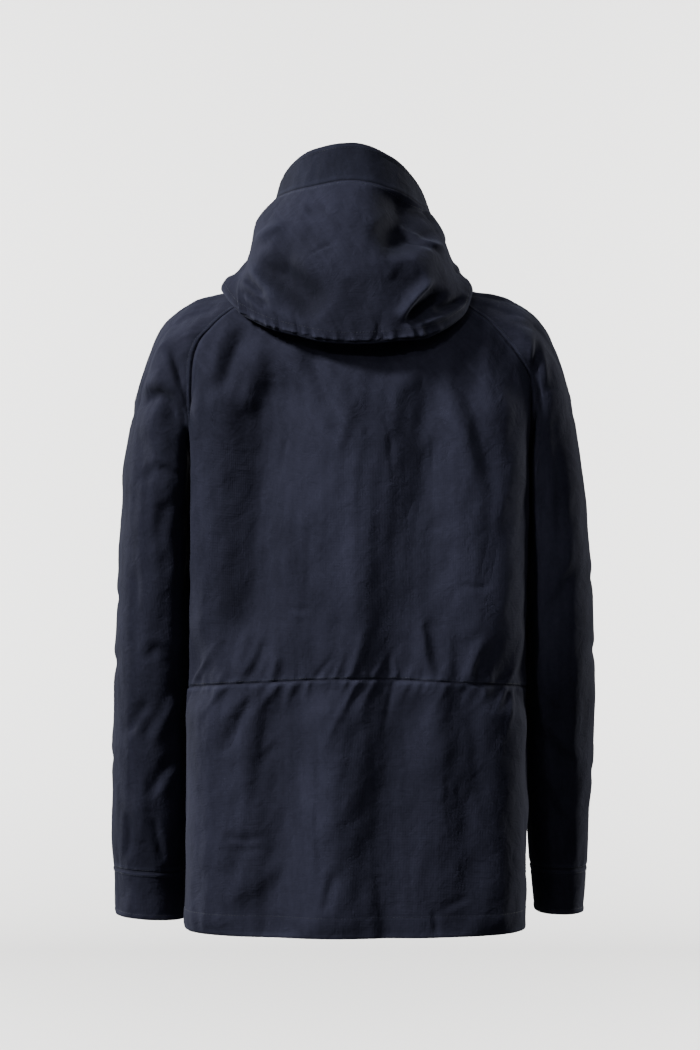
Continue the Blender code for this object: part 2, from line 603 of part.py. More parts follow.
class Parka:
    """Builds every piece of the coat into one collection."""

    def __init__(self, collection):
        self.collection = collection
        self.shell = material("cotton_shell", NAVY, 0.85)
        self.shadow = material("cotton_shell_deep", NAVY_DEEP, 0.85)
        self.snap_metal = material("snap_metal", SNAP_METAL, 0.35, 1.0)

    def build(self):
        self.back()
        for side in (LEFT, RIGHT):
            self.front(side)
            self.sleeve(side)
        self.hood()
        self.flap()

    # Body -----------------------------------------------------------------------------------

    def waist(self, share):
        """Height of the waist seam across the back, raised in the middle."""
        return WAIST_HEIGHT + WAIST_RISE * (1 - share**2)

    def back(self):
        share = np.linspace(-1, 1, BACK_COLUMNS + 1)
        across = share * math.pi / 2
        hem = np.full_like(share, HEM_HEIGHT)
        skirt = blend_rows(hem, self.waist(share), SKIRT_ROWS)
        points, normal = surface_grid(body_point, np.broadcast_to(across, skirt.shape), skirt)
        points = pull_in(points, ("last_row", "first_column", "last_column"))
        cloth("back_lower", points, normal, self.shell, self.collection)

        chest = blend_rows(self.waist(share), np.full_like(share, UNDERARM_HEIGHT), CHEST_ROWS)
        angle = np.broadcast_to(across, chest.shape)
        seam = RAGLAN.rows[1:, 0]
        left = raglan_azimuth(LEFT, BACK, seam)[:, None]
        right = raglan_azimuth(RIGHT, BACK, seam)[:, None]
        yoke_angle = right + (left - right) * (share + 1) / 2
        yoke = np.broadcast_to(seam[:, None], yoke_angle.shape).copy()
        yoke[-1] = neck_height(yoke_angle[-1])
        yoke[-2] += (yoke[-1] - RAGLAN.rows[-1, 0]) * 0.4
        angle = np.concatenate([angle, yoke_angle])
        height = np.concatenate([chest, yoke])
        points, normal = surface_grid(body_point, angle, height)
        points = pull_in(points, ("first_row", "last_row", "first_column", "last_column"))
        cloth("back_upper", points, normal, self.shell, self.collection)

    def front_edges(self, side):
        """Azimuths and heights up a front's side and raglan edge, and heights up its closing edge."""
        side_heights = np.concatenate(
            [
                blend_rows(HEM_HEIGHT, WAIST_HEIGHT, SKIRT_ROWS),
                blend_rows(WAIST_HEIGHT, UNDERARM_HEIGHT, CHEST_ROWS)[1:],
            ]
        )
        turn = 1 - np.linspace(0, 0.5 - NECK_SHARE, len(RAGLAN.rows))[1:]
        seam_azimuth, seam_height = armhole(side, turn)
        edge_azimuth = np.concatenate([np.full_like(side_heights, side * math.pi / 2), seam_azimuth])
        edge_height = np.concatenate([side_heights, seam_height])
        middle_top = neck_height(math.pi)
        climb = (edge_height - HEM_HEIGHT) / (edge_height[-1] - HEM_HEIGHT)
        middle_height = HEM_HEIGHT + climb * (middle_top - HEM_HEIGHT)
        return edge_azimuth, edge_height, middle_height

    def front(self, side):
        share = np.linspace(0, 1, FRONT_COLUMNS + 1)
        edge_azimuth, edge_height, middle_height = self.front_edges(side)
        angle = edge_azimuth[:, None] + (side * math.pi - edge_azimuth[:, None]) * share
        height = edge_height[:, None] + (middle_height - edge_height)[:, None] * ease(share)
        height[-1] = neck_height(angle[-1])
        points, normal = surface_grid(body_point, angle, height)
        points = pull_in(points, ("last_row", "first_column", "last_column"))
        name = "front_left" if side == LEFT else "front_right"
        cloth(name, points, normal, self.shell, self.collection)

    # Sleeves --------------------------------------------------------------------------------

    def sleeve(self, side):
        made = Sleeve(side, SLEEVE_LEFT if side == LEFT else SLEEVE_RIGHT)
        seam_steps = np.linspace(0, 0.5 - NECK_SHARE, len(RAGLAN.rows))
        neck_steps = np.linspace(0.5 - NECK_SHARE, 0.5, NECK_COLUMNS + 1)[1:]
        half = np.concatenate([seam_steps, neck_steps])
        head = np.linspace(0, 1, HEAD_ROWS + 1) ** HEAD_CROWDING
        span = CUFF_BOTTOM[side] - SLEEVE_HEAD_HEIGHT
        cuff_start = 1 + (CUFF_TOP[side] - SLEEVE_HEAD_HEIGHT) / span
        down = np.concatenate([head, np.linspace(1, cuff_start, RING_ROWS + 1)[1:]])
        label = "left" if side == LEFT else "right"
        for face, turns in (("back", half), ("front", 1 - half[::-1])):
            grid = np.broadcast_to(turns, (len(down), len(turns)))
            points, normal = surface_grid(made.point, grid, np.broadcast_to(down[:, None], grid.shape))
            points = pull_in(points, ("first_row", "last_row", "first_column", "last_column"))
            cloth(f"sleeve_{label}_{face}", points, normal * -side, self.shell, self.collection)
        turns = np.concatenate([half, 1 - half[::-1][1:-1]])
        grid = np.broadcast_to(turns, (2, len(turns)))
        down = np.array([[cuff_start], [2.0]])
        points, normal = surface_grid(made.point, grid, np.broadcast_to(down, grid.shape))
        points = pull_in(points, ("first_row",))
        cloth(f"cuff_{label}", points, normal * -side, self.shadow, self.collection, closed=True)

    # Hood -----------------------------------------------------------------------------------

    def hood_piece(self, name, azimuths, alongs, rim, surface):
        grid = np.broadcast_to(np.radians(azimuths), (len(alongs), len(azimuths)))
        points, normal = surface_grid(Hood().point, grid, np.broadcast_to(alongs[:, None], grid.shape))
        points = pull_in(points, rim, HOOD_SEAM_GAP / 2)
        cloth(name, points, normal, surface, self.collection)

    def hood(self):
        every = np.linspace(-HOOD_SIDE_SEAM, HOOD_SIDE_SEAM, HOOD_COLUMNS + 1)
        sides = ("first_column", "last_column")
        self.hood_piece("hood_nape", every, NAPE_ROWS, ("last_row", *sides), self.shadow)
        self.hood_piece("hood_crown", every, CROWN_ROWS, ("first_row", "last_row", *sides), self.shell)
        self.hood_piece("hood_visor", every, VISOR_ROWS, ("first_row", *sides), self.shadow)
        for side, name in ((LEFT, "hood_side_left"), (RIGHT, "hood_side_right")):
            reach = side * np.linspace(HOOD_SIDE_SEAM, 180, SIDE_COLUMNS + 1)
            self.hood_piece(name, np.sort(reach), HOOD_SIDE_ROWS, sides, self.shell)

    # Storm flap and snaps -------------------------------------------------------------------

    def flap(self):
        """The strip over the closed fronts and the hood's edges, made of their own points moved out."""
        across = np.array([1.0, 0.4, -0.4, -1.0]) * FLAP_HALF_WIDTH
        height = self.front_edges(LEFT)[2][:-1]
        angle = math.pi - np.arctan2(across[None, :], BODY.at("front", height)[:, None])
        grid = np.broadcast_to(height[:, None], angle.shape)
        body, body_out = surface_grid(body_point, angle, grid)
        along = HOOD_SIDE_ROWS[HOOD_SIDE_ROWS > 0.3]
        around = math.pi - np.arcsin(across / HOOD_POUCH.at("fold_out", 180))
        grid = np.broadcast_to(around, (len(along), len(around)))
        hood, hood_out = surface_grid(self.closing_edge, grid, np.broadcast_to(along[:, None], grid.shape))
        points, out = np.concatenate([body, hood]), np.concatenate([body_out, hood_out])
        points = points + out * (FLAP_THICKNESS + FLAP_LIFT)
        cloth("storm_flap", points, out, self.shell, self.collection, thickness=FLAP_THICKNESS)
        for count, row in enumerate(SNAP_ROWS):
            corners = points[row : row + 2, 1:3].reshape(-1, 3)
            facet = np.cross(corners[1] - corners[0], corners[2] - corners[0])
            facet *= -np.sign(facet[1]) / np.linalg.norm(facet)
            self.snap(f"snap_{count + 1}", corners.mean(0), facet)

    def closing_edge(self, azimuth, along):
        """The hood's surface near the throat, read past 180 degrees as its mirror image."""
        return Hood().point(np.where(azimuth > math.pi, azimuth - 2 * math.pi, azimuth), along)

    def snap(self, name, middle, out):
        bpy.ops.mesh.primitive_cone_add(
            vertices=SNAP_SIDES,
            radius1=SNAP_RADIUS,
            radius2=SNAP_RADIUS * SNAP_TAPER,
            depth=SNAP_THICKNESS,
            location=middle + out * (SNAP_THICKNESS / 2 + SEAM_GAP),
            rotation=Vector(out).to_track_quat("Z", "Y").to_euler(),
        )
        made = bpy.context.active_object
        made.name = made.data.name = name
        made.data.materials.append(self.snap_metal)
        for holder in list(made.users_collection):
            holder.objects.unlink(made)
        self.collection.objects.link(made)


def blend_rows(first, last, steps):
    """Rows of heights from one edge to the other, both kept."""
    share = np.linspace(0, 1, steps + 1)
    if np.ndim(first):
        share = share[:, None]
    return first + (last - first) * share


def main():
    for made in list(bpy.data.objects):
        bpy.data.objects.remove(made, do_unlink=True)
    collection = bpy.data.collections.new("mountain_parka")
    bpy.context.scene.collection.children.link(collection)
    Parka(collection).build()


main()
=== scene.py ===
"""Ink-navy mountain parka as it is worn: hood down, fronts snapped shut, arms hanging.

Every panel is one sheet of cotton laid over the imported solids: a smooth garment form, the coat's creases
and gathers raised on it, a thin inner wall, and the stitches that hold it. Metres, +Z up, the front
toward -Y and the wearer's left toward +X, with the origin at the base of the neck.
"""

import logging
import math
from dataclasses import dataclass, field, replace
from enum import Enum
from typing import Callable, Iterable

import bmesh
import bpy
import numpy as np
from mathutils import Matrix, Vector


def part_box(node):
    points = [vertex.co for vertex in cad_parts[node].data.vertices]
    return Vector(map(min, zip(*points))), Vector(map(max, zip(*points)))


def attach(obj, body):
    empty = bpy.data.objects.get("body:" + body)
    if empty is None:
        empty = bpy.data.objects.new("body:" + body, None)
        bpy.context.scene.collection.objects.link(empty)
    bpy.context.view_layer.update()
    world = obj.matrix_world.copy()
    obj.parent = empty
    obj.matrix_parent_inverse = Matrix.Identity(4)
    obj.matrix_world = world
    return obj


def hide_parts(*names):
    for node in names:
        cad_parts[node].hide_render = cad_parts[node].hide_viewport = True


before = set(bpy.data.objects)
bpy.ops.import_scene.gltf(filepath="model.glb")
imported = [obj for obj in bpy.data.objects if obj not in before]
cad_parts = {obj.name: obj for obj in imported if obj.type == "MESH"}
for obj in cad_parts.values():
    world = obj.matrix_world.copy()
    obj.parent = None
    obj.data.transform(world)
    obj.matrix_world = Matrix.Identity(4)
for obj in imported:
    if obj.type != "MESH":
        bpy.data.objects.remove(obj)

Array = np.ndarray
Tree, Node, Socket = bpy.types.NodeTree, bpy.types.Node, bpy.types.NodeSocket
Material, Object, Light = bpy.types.Material, bpy.types.Object, bpy.types.Light
Form = Callable[[Array, Array], Array]
Colour = str | Socket
LOG = logging.getLogger("parka")
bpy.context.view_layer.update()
MM_PER_M = 1000
STEP = 1e-4  # half the span of the central differences that give normals

# A fold is worked out to this many widths beside its run. With a lip of 1 its steep flank is narrower and
# its other flank wider by these shares. The lip itself is given as shares of the fold's depth and width.
FOLD_REACH = 4.5
STEEPER, FLATTER = 0.55, 0.45
LIP_HEIGHT, LIP_PLACE, LIP_WIDTH = 0.6, 1.35, 0.9

# The groove that stitches press into a doubled edge: how deep, how wide, and how far inside the fold (m).
GROOVE_DEPTH, GROOVE_WIDTH, GROOVE_INSET = 0.00035, 0.0016, 0.0015
ROLL_WIDTH = 0.0016  # how far from a seam the cloth starts to roll into it (m)

# Tone beside a seam and on folds: the rubbed swell's distance and width (m), which is rubbing; the seam's own
# dark line, which is painted shade; and the height of a fold (m) at which its ridge is fully paler, part
# rubbing and part painted highlight, and its trough fully darker, as painted shade.
RUBBED_PLACE, RUBBED_WIDTH = 0.0035, 0.0022
LINE_WIDTH, SEAM_LINE_SHADE = 0.0010, 1.1
RIDGE_HEIGHT = 0.008


class Side(Enum):
    """A side of the coat, as the wearer has it."""

    LEFT = 1
    RIGHT = -1

    @property
    def label(self) -> str:
        """The side's name in a piece's name."""
        return self.name.lower()


class Face(Enum):
    """A way that cloth can face, on which folds are laid out."""

    BACK = (0.0, 1.0, 0.0)
    FRONT = (0.0, -1.0, 0.0)
    LEFT = (1.0, 0.0, 0.0)
    RIGHT = (-1.0, 0.0, 0.0)

    def across(self, points: Array) -> Array:
        """The level coordinate that folds on this face are laid out with: x, or y on the sides."""
        return points[..., 0] if self in (Face.BACK, Face.FRONT) else points[..., 1]

    def share(self, normal: Array) -> Array:
        """1 where the cloth faces this way, easing to 0 where it turns edge on."""
        steepness, start = 1.9, 0.15
        return ease(normal @ np.array(self.value) * steepness - start)


class Edge(Enum):
    """An edge of a sheet's grid of points: which axis it ends, and at which end."""

    FIRST_ROW = (0, 0)
    LAST_ROW = (0, -1)
    FIRST_COLUMN = (1, 0)
    LAST_COLUMN = (1, -1)

    def line(self, grid: Array, inside: int = 0) -> Array:
        """Picks the points of one line of a grid.

        Args:
            grid: Grid of points.
            inside: Steps between the edge and the line.

        Returns:
            A view of the line's points, so that what is added to it moves the grid.
        """
        axis, end = self.value
        index = end - inside if end else inside
        return grid[:, index] if axis else grid[index]


class Join(Enum):
    """What an edge is: its roll (m), the width (m) and lift (m) of the cloth doubled under it."""

    SEAM = (0.0006, 0.0, 0.0)
    FELLED = (0.0009, 0.0075, 0.00065)
    HEM = (0.0005, 0.0250, 0.00045)
    TURNED = (0.0005, 0.0080, 0.00040)


# ---- curves and tables


def ease(value: Array) -> Array:
    """0 below 0 and 1 above 1, with a soft start and end: 3v^2 - 2v^3."""
    value = np.clip(value, 0, 1)
    return value * value * (3 - 2 * value)


def through(knots: Array, values: Iterable[Array], place: Array) -> Array:
    """A monotone cubic curve through values given at knots.

    Each span is a cubic Hermite curve whose end slopes are the harmonic means of the slopes beside them,
    or 0 where those have unlike signs, so it never overshoots.

    Args:
        knots: Rising places along the curve, one per value.
        values: Arrays of one shape, or plain numbers.
        place: Where to read the curve; beyond the ends it stays level.

    Returns:
        The curve at each place.
    """
    knots = np.asarray(knots, float)
    values = np.stack(np.broadcast_arrays(*values)).astype(float)
    place = np.clip(np.asarray(place, float), knots[0], knots[-1])
    if values.ndim == 1:
        values = np.broadcast_to(values.reshape(-1, *[1] * place.ndim), (len(knots), *place.shape))
    gap = np.diff(knots)
    slope = np.diff(values, axis=0) / gap.reshape(-1, *[1] * (values.ndim - 1))
    before, after = slope[:-1], slope[1:]
    same_way = before * after > 0
    inner = np.where(same_way, 2 * before * after / np.where(same_way, before + after, 1.0), 0.0)
    tangent = np.concatenate([slope[:1], inner, slope[-1:]])
    row = np.clip(np.searchsorted(knots, place, side="right") - 1, 0, len(gap) - 1)
    part = (place - knots[row]) / gap[row]
    rest = 1 - part

    def pick(table: Array, index: Array) -> Array:
        """The table's entry for each place."""
        return np.take_along_axis(table, index[None], 0)[0]

    return (
        pick(values, row) * (1 + 2 * part) * rest**2
        + pick(values, row + 1) * (1 + 2 * rest) * part**2
        + gap[row] * part * rest * (pick(tangent, row) * rest - pick(tangent, row + 1) * part)
    )


def read_rows(knots: Array, rows: Array, places: Array) -> Array:
    """Rows of points on one grid, read at places between them.

    Args:
        knots: Rising places of the rows.
        rows: Points, or unit vectors, with the rows first.
        places: Where to read them.

    Returns:
        One row for each place.
    """
    shape = (len(places), *rows.shape[1:])
    values = np.broadcast_to(rows[:, None], (len(rows), *shape))
    return through(knots, values, np.broadcast_to(places.reshape(-1, *[1] * (rows.ndim - 1)), shape))


class Table:
    """Rows of sizes under named columns, read along the first column by a monotone cubic curve."""

    def __init__(self, columns: str, rows: list[tuple[float, ...]], samples: int = 4001) -> None:
        """Keeps the rows, and each column's curve sampled closely.

        Args:
            columns: The columns' names in one string.
            rows: One tuple of numbers for each row, rising in the first column.
            samples: How many places each curve is sampled at.
        """
        self.columns = columns.split()
        self.rows = np.array(rows, float)
        self.reach = np.linspace(self.rows[0, 0], self.rows[-1, 0], samples)
        self.curves = [through(self.rows[:, 0], column, self.reach) for column in self.rows.T]

    def column(self, name: str) -> Array:
        """One column's numbers."""
        return self.rows[:, self.columns.index(name)]

    def at(self, name: str, place: Array) -> Array:
        """A column's value at each place along the first column."""
        return np.interp(place, self.reach, self.curves[self.columns.index(name)])


def soft_max(first: Array, second: Array, blend: float = 0.004) -> Array:
    """The larger of two lengths, with a rounded change from one to the other."""
    gap = first - second
    return (first + second + np.sqrt(gap * gap + blend * blend)) / 2


def crowded(length: float, coarse: float, fine: float, band: float = 0.030) -> Array:
    """Shares from 0 to 1 of a length, in fine steps near both ends and coarse ones between.

    Args:
        length: The length (m).
        coarse: Step in the middle (m).
        fine: Step near the ends (m).
        band: How far the fine steps reach from each end (m).

    Returns:
        Rising shares of the length.
    """
    band = min(band, length / 3)
    ends = np.linspace(0, band, max(int(round(band / fine)), 2) + 1)
    middle = np.linspace(band, length - band, max(int(round((length - 2 * band) / coarse)), 2) + 1)
    return np.concatenate([ends, middle[1:-1], length - ends[::-1]]) / length


def surface_grid(form: Form, first: Array, second: Array) -> tuple[Array, Array]:
    """Points of a form and the unit vectors out of it.

    Args:
        form: A surface as a function of two parameters.
        first: The first parameter on a grid.
        second: The second parameter on the same grid.

    Returns:
        The points, and the cross product of the two central differences, second by first.
    """
    points = form(first, second)
    along_first = form(first + STEP, second) - form(first - STEP, second)
    along_second = form(first, second + STEP) - form(first, second - STEP)
    normal = np.cross(along_second, along_first)
    return points, normal / np.linalg.norm(normal, axis=-1, keepdims=True)


def step_lengths(points: Array, axis: int) -> Array:
    """Distances run along one axis of a grid of points.

    Args:
        points: Grid of points.
        axis: 0 along the piece, 1 across it.

    Returns:
        The distance from the grid's first edge, for each point (m).
    """
    steps = np.linalg.norm(np.diff(points, axis=axis), axis=-1)
    start = np.zeros_like(np.take(steps, [0], axis=axis))
    return np.concatenate([start, np.cumsum(steps, axis=axis)], axis=axis)


# ---- folds in cloth


@dataclass(frozen=True)
class Folds:
    """Creases and rolls laid out on one face of the coat, each along its own bent run.

    A row holds a fold's start, its bend and its end, each as a level coordinate and a height, then its
    width and its depth, all in millimetres, and last its lip.
    """

    face: Face
    rows: list[tuple[float, ...]]
    fade: float = 0.30

    def relief(self, points: Array, normal: Array) -> Array:
        """How far the folds lift the cloth (m).

        A run is a quadratic curve from its start past its bend to its end. Across it the cloth moves by
        depth * exp(-(d / width)^2). Where lip is above 0 the fold is steeper on the left of the run,
        where a low lip of the other sign stands beside it, and below 0 the same holds on the right.
        Along the run the fold opens from nothing and closes again.

        Args:
            points: Grid of points on the cloth.
            normal: Unit vectors out of it.

        Returns:
            Height for each point.
        """
        total = np.zeros(points.shape[:-1])
        share = self.face.share(normal)
        across, height = self.face.across(points), points[..., 2]
        for row in np.array(self.rows, float):
            start, bend, end = (row[k : k + 2] / MM_PER_M for k in (0, 2, 4))
            width, depth, lip = row[6] / MM_PER_M, row[7] / MM_PER_M, row[8]
            path = bent_run(start, bend, end)
            reach = FOLD_REACH * width
            low, high = path.min(0) - reach, path.max(0) + reach
            near = (share > 0) & (across > low[0]) & (across < high[0])
            near &= (height > low[1]) & (height < high[1])
            if not near.any():
                continue
            along, aside = beside_run(path, across[near], height[near])
            beyond = aside * np.sign(lip) > 0
            spread = width * np.where(beyond, 1 - STEEPER * abs(lip), 1 + FLATTER * abs(lip))
            body = np.exp(-((aside / spread) ** 2))
            off_lip = aside - np.sign(lip) * LIP_PLACE * width
            beside = LIP_HEIGHT * np.exp(-((off_lip / (LIP_WIDTH * width)) ** 2))
            grow = ease(along / self.fade) * ease((1 - along) / self.fade)
            total[near] += depth * (body - abs(lip) * beside) * grow * share[near]
        return total


def bent_run(start: Array, bend: Array, end: Array, count: int = 22) -> Array:
    """Points of the quadratic curve that starts and ends where given and passes its bend halfway.

    Args:
        start: First point.
        bend: Point at the middle of the run.
        end: Last point.
        count: How many points.

    Returns:
        The points, one to a row.
    """
    part = np.linspace(0, 1, count)[:, None]
    control = 2 * bend - (start + end) / 2
    return start * (1 - part) ** 2 + 2 * control * part * (1 - part) + end * part**2


def beside_run(path: Array, across: Array, height: Array) -> tuple[Array, Array]:
    """How far along a run of points each place lies, from 0 to 1, and how far beside it.

    Args:
        path: Points of the run, level coordinate and height.
        across: Level coordinate of each place.
        height: Height of each place.

    Returns:
        The share along, and the distance aside, above 0 on the left of the run.
    """
    run = np.diff(path, axis=0)
    length = np.hypot(*run.T)
    before = np.concatenate([[0], np.cumsum(length)[:-1]])
    reach = np.stack([across, height], -1)[:, None] - path[:-1]
    part = np.clip((reach * run).sum(-1) / length**2, 0, 1)
    off = reach - part[..., None] * run
    distance = np.hypot(off[..., 0], off[..., 1])
    nearest = distance.argmin(1)[:, None]
    along = np.take_along_axis((before + part * length) / length.sum(), nearest, 1)[:, 0]
    turn = np.take_along_axis(run[:, 0] * off[..., 1] - run[:, 1] * off[..., 0], nearest, 1)[:, 0]
    return along, np.take_along_axis(distance, nearest, 1)[:, 0] * np.sign(turn)


@dataclass(frozen=True)
class Puckers:
    """Gathers that a tight row of stitches pulls into the cloth beside it, no two alike.

    Lengths are in metres, start and end are shares of the edge, and lean is how far a gather drifts
    along the edge for each metre that it runs away from it.
    """

    spacing: float
    length: float
    depth: float
    lean: float = 0.0
    seed: int = 1
    start: float = 0.0
    end: float = 1.0
    rise: float = 0.0016

    def relief(self, along: Array, away: Array) -> Array:
        """Sum of narrow ridges that run away from an edge.

        Each one is exp(-((s - s0 - lean * q) / w)^2) across, rises from 0 at the stitches within a
        millimetre or two and dies away over its own length.

        Args:
            along: Distance s along the edge (m).
            away: Distance q from the edge (m).

        Returns:
            Height for each point (m).
        """
        random = np.random.default_rng(self.seed)
        run = float(along.max())
        count = int(run * (self.end - self.start) / self.spacing)
        jitter = random.uniform(-0.42, 0.42, count)
        middle = run * self.start + self.spacing * (np.arange(count) + 0.5 + jitter)
        length = self.length * random.uniform(0.45, 1.5, count)
        depth = self.depth * random.choice([1.0, 1.0, 1.0, -0.7], count) * random.uniform(0.35, 1.25, count)
        lean = self.lean + random.normal(0, 0.28, count)
        width = self.spacing * random.uniform(0.20, 0.40, count)
        total = np.zeros(along.shape)
        band = away < 2.4 * self.length
        for k in range(count):
            aside = along - middle[k] - lean[k] * away
            near = band & (np.abs(aside) < 3 * width[k])
            fall = np.exp(-((away[near] / length[k]) ** 1.6)) * (1 - np.exp(-away[near] / self.rise))
            total[near] += depth[k] * fall * np.exp(-((aside[near] / width[k]) ** 2))
        return total


def drift(points: Array, scale: float, seed: int, waves: int = 9, hang: float = 0.5) -> Array:
    """Slow uneven waviness between about -1 and 1: a mean of sine waves in seeded directions.

    Args:
        points: Where to read it.
        scale: Usual length of a wave (m).
        seed: Which pattern.
        waves: How many sine waves.
        hang: How much slower it changes down the cloth than across it, as a share.

    Returns:
        One number for each point.
    """
    random = np.random.default_rng(seed)
    way = random.normal(size=(waves, 3))
    pace = 2 * math.pi / scale * random.uniform(0.6, 1.6, (waves, 1))
    way *= pace / np.linalg.norm(way, axis=1, keepdims=True)
    way[:, 2] *= hang
    phase = random.uniform(0, 2 * math.pi, waves)
    return np.sin(points @ way.T + phase).sum(-1) * math.sqrt(2 / waves) * 0.7


# ---- garment forms


BODY_RINGS = Table("height half_width back front shift middle squareness", [
    (-0.79, 0.198, 0.118, 0.168, -0.004, 0.022, 2.5),
    (-0.64, 0.197, 0.112, 0.166, -0.005, 0.022, 2.5),
    (-0.497, 0.196, 0.106, 0.162, -0.006, 0.022, 2.45),
    (-0.35, 0.195, 0.108, 0.164, -0.008, 0.022, 2.4),
    (-0.215, 0.195, 0.108, 0.158, -0.01, 0.022, 2.35),
    (-0.15, 0.205, 0.105, 0.148, -0.009, 0.022, 2.35),
    (-0.12, 0.208, 0.101, 0.138, -0.007, 0.02, 2.35),
    (-0.08, 0.198, 0.095, 0.116, -0.004, 0.014, 2.35),
    (-0.05, 0.159, 0.088, 0.094, -0.002, 0.008, 2.3),
    (-0.032, 0.12, 0.079, 0.078, 0.0, 0.004, 2.25),
    (-0.02, 0.096, 0.071, 0.066, 0.0, 0.001, 2.2),
    (-0.008, 0.078, 0.064, 0.056, 0.0, 0.0, 2.2),
    (0.004, 0.056, 0.058, 0.046, 0.0, 0.0, 2.2),
    (0.012, 0.042, 0.054, 0.04, 0.0, 0.0, 2.2),
])

RAGLAN_SEAMS = Table("height back_left back_right front", [
    (-0.215, 90, 90, 90),
    (-0.2, 84, 86, 97),
    (-0.18, 80, 82, 102),
    (-0.147, 77, 79, 106),
    (-0.12, 75, 74, 110),
    (-0.097, 73, 70, 114),
    (-0.078, 69, 67, 118),
    (-0.048, 65, 63, 120),
    (-0.031, 66, 65, 117),
    (-0.016, 68, 68, 112),
])

NECKLINE = Table("azimuth height", [
    (0, -0.006),
    (68, -0.016),
    (90, -0.021),
    (112, -0.026),
    (135, -0.035),
    (155, -0.054),
    (180, -0.068),
])

BODY_HANG = (
    Folds(Face.BACK, [
        (115, -100, 112, -290, 108, -480, 26, -7, 0),
        (-50, -130, -48, -500, -45, -900, 26, -8, 0),
        (-100, -220, -96, -535, -92, -850, 24, 5, 0),
        (50, -500, 80, -650, 110, -800, 26, -6, 0),
        (20, -300, 15, -600, 10, -900, 26, 4, 0),
    ]),
    Folds(Face.FRONT, [
        (110, -160, 103, -430, 95, -700, 28, -6, 0),
        (-115, -180, -108, -410, -100, -640, 26, -6, 0),
        (75, -420, 98, -660, 120, -900, 24, 5, 0),
        (-80, -380, -105, -640, -130, -900, 26, 4, 0),
    ]),
)


@dataclass
class BodyForm:
    """The coat's body: level rings whose back and front halves are superellipses of their own depth."""

    hem: float = -0.772
    waist: float = -0.497
    waist_rise: float = 0.016
    underarm: float = -0.215
    neck_point: float = -0.016
    rings: Table = BODY_RINGS
    raglan: Table = RAGLAN_SEAMS
    neckline: Table = NECKLINE
    hang: tuple[Folds, ...] = BODY_HANG

    def point(self, azimuth: Array, height: Array) -> Array:
        """Outer surface of the body.

        A ring's radius at an azimuth is ((|sin| / half_width)^n + (|cos| / depth)^n)^(-1/n).

        Args:
            azimuth: Radians from the middle of the back toward the wearer's left.
            height: Height (m).

        Returns:
            Points.
        """
        azimuth, height = np.broadcast_arrays(np.asarray(azimuth, float), np.asarray(height, float))
        depth = self.depth(np.cos(azimuth) > 0, height)
        power = self.rings.at("squareness", height)
        across = (np.abs(np.sin(azimuth)) / self.rings.at("half_width", height)) ** power
        reach = (across + (np.abs(np.cos(azimuth)) / depth) ** power) ** (-1 / power)
        x = self.rings.at("shift", height) + reach * np.sin(azimuth)
        y = self.rings.at("middle", height) + reach * np.cos(azimuth)
        return np.stack([x, y, height], -1)

    def depth(self, behind: Array, height: Array) -> Array:
        """Depth of a ring's back half where behind is true, and of its front half elsewhere."""
        return np.where(behind, self.rings.at("back", height), self.rings.at("front", height))

    def neck_height(self, azimuth: Array) -> Array:
        """Height of the neckline seam."""
        return self.neckline.at("height", np.degrees(np.abs(azimuth)))

    def waist_height(self, azimuth: Array) -> Array:
        """Height of the back's waist seam, raised in the middle."""
        return self.waist + self.waist_rise * (1 - (azimuth / (math.pi / 2)) ** 2)

    def raglan_azimuth(self, side: Side, back: Array, height: Array) -> Array:
        """Azimuth at which a raglan seam crosses a height, on the back or the front."""
        behind = self.raglan.at("back_left" if side is Side.LEFT else "back_right", height)
        return side.value * np.radians(np.where(back, behind, self.raglan.at("front", height)))

    def side_reach(self, side: Side, y: Array, height: Array) -> Array:
        """How far out the body reaches on one side.

        Args:
            side: Which side.
            y: Place along the coat's depth (m).
            height: Height (m).

        Returns:
            The level coordinate x of the body's surface there.
        """
        middle = self.rings.at("middle", height)
        depth = self.depth(y > middle, height)
        power = self.rings.at("squareness", height)
        share = np.clip(1 - (np.abs(y - middle) / depth) ** power, 0, 1)
        width = self.rings.at("half_width", height)
        return self.rings.at("shift", height) + side.value * width * share ** (1 / power)

    def top(self, x: Array, y: Array) -> Array:
        """Height of the shoulders, found by halving between the chest and the neck.

        Args:
            x: Level coordinate across the coat (m).
            y: Level coordinate along its depth (m).

        Returns:
            The height of the body's surface at each place, to less than a hundredth of a millimetre.
        """
        low, high = np.full(np.shape(x), -0.300), np.zeros(np.shape(x))
        for _ in range(20):
            height = (low + high) / 2
            middle = self.rings.at("middle", height)
            depth = self.depth(y > middle, height)
            power = self.rings.at("squareness", height)
            width = self.rings.at("half_width", height)
            across = (np.abs(x - self.rings.at("shift", height)) / width) ** power
            outside = across + (np.abs(y - middle) / depth) ** power > 1
            low, high = np.where(outside, low, height), np.where(outside, height, high)
        return (low + high) / 2


SLEEVE_TWIST = Table("turn lead", [(0, 0.045), (0.14, 0.07), (0.3, 0.04), (0.42, 0), (0.85, 0), (1, 0.045)])


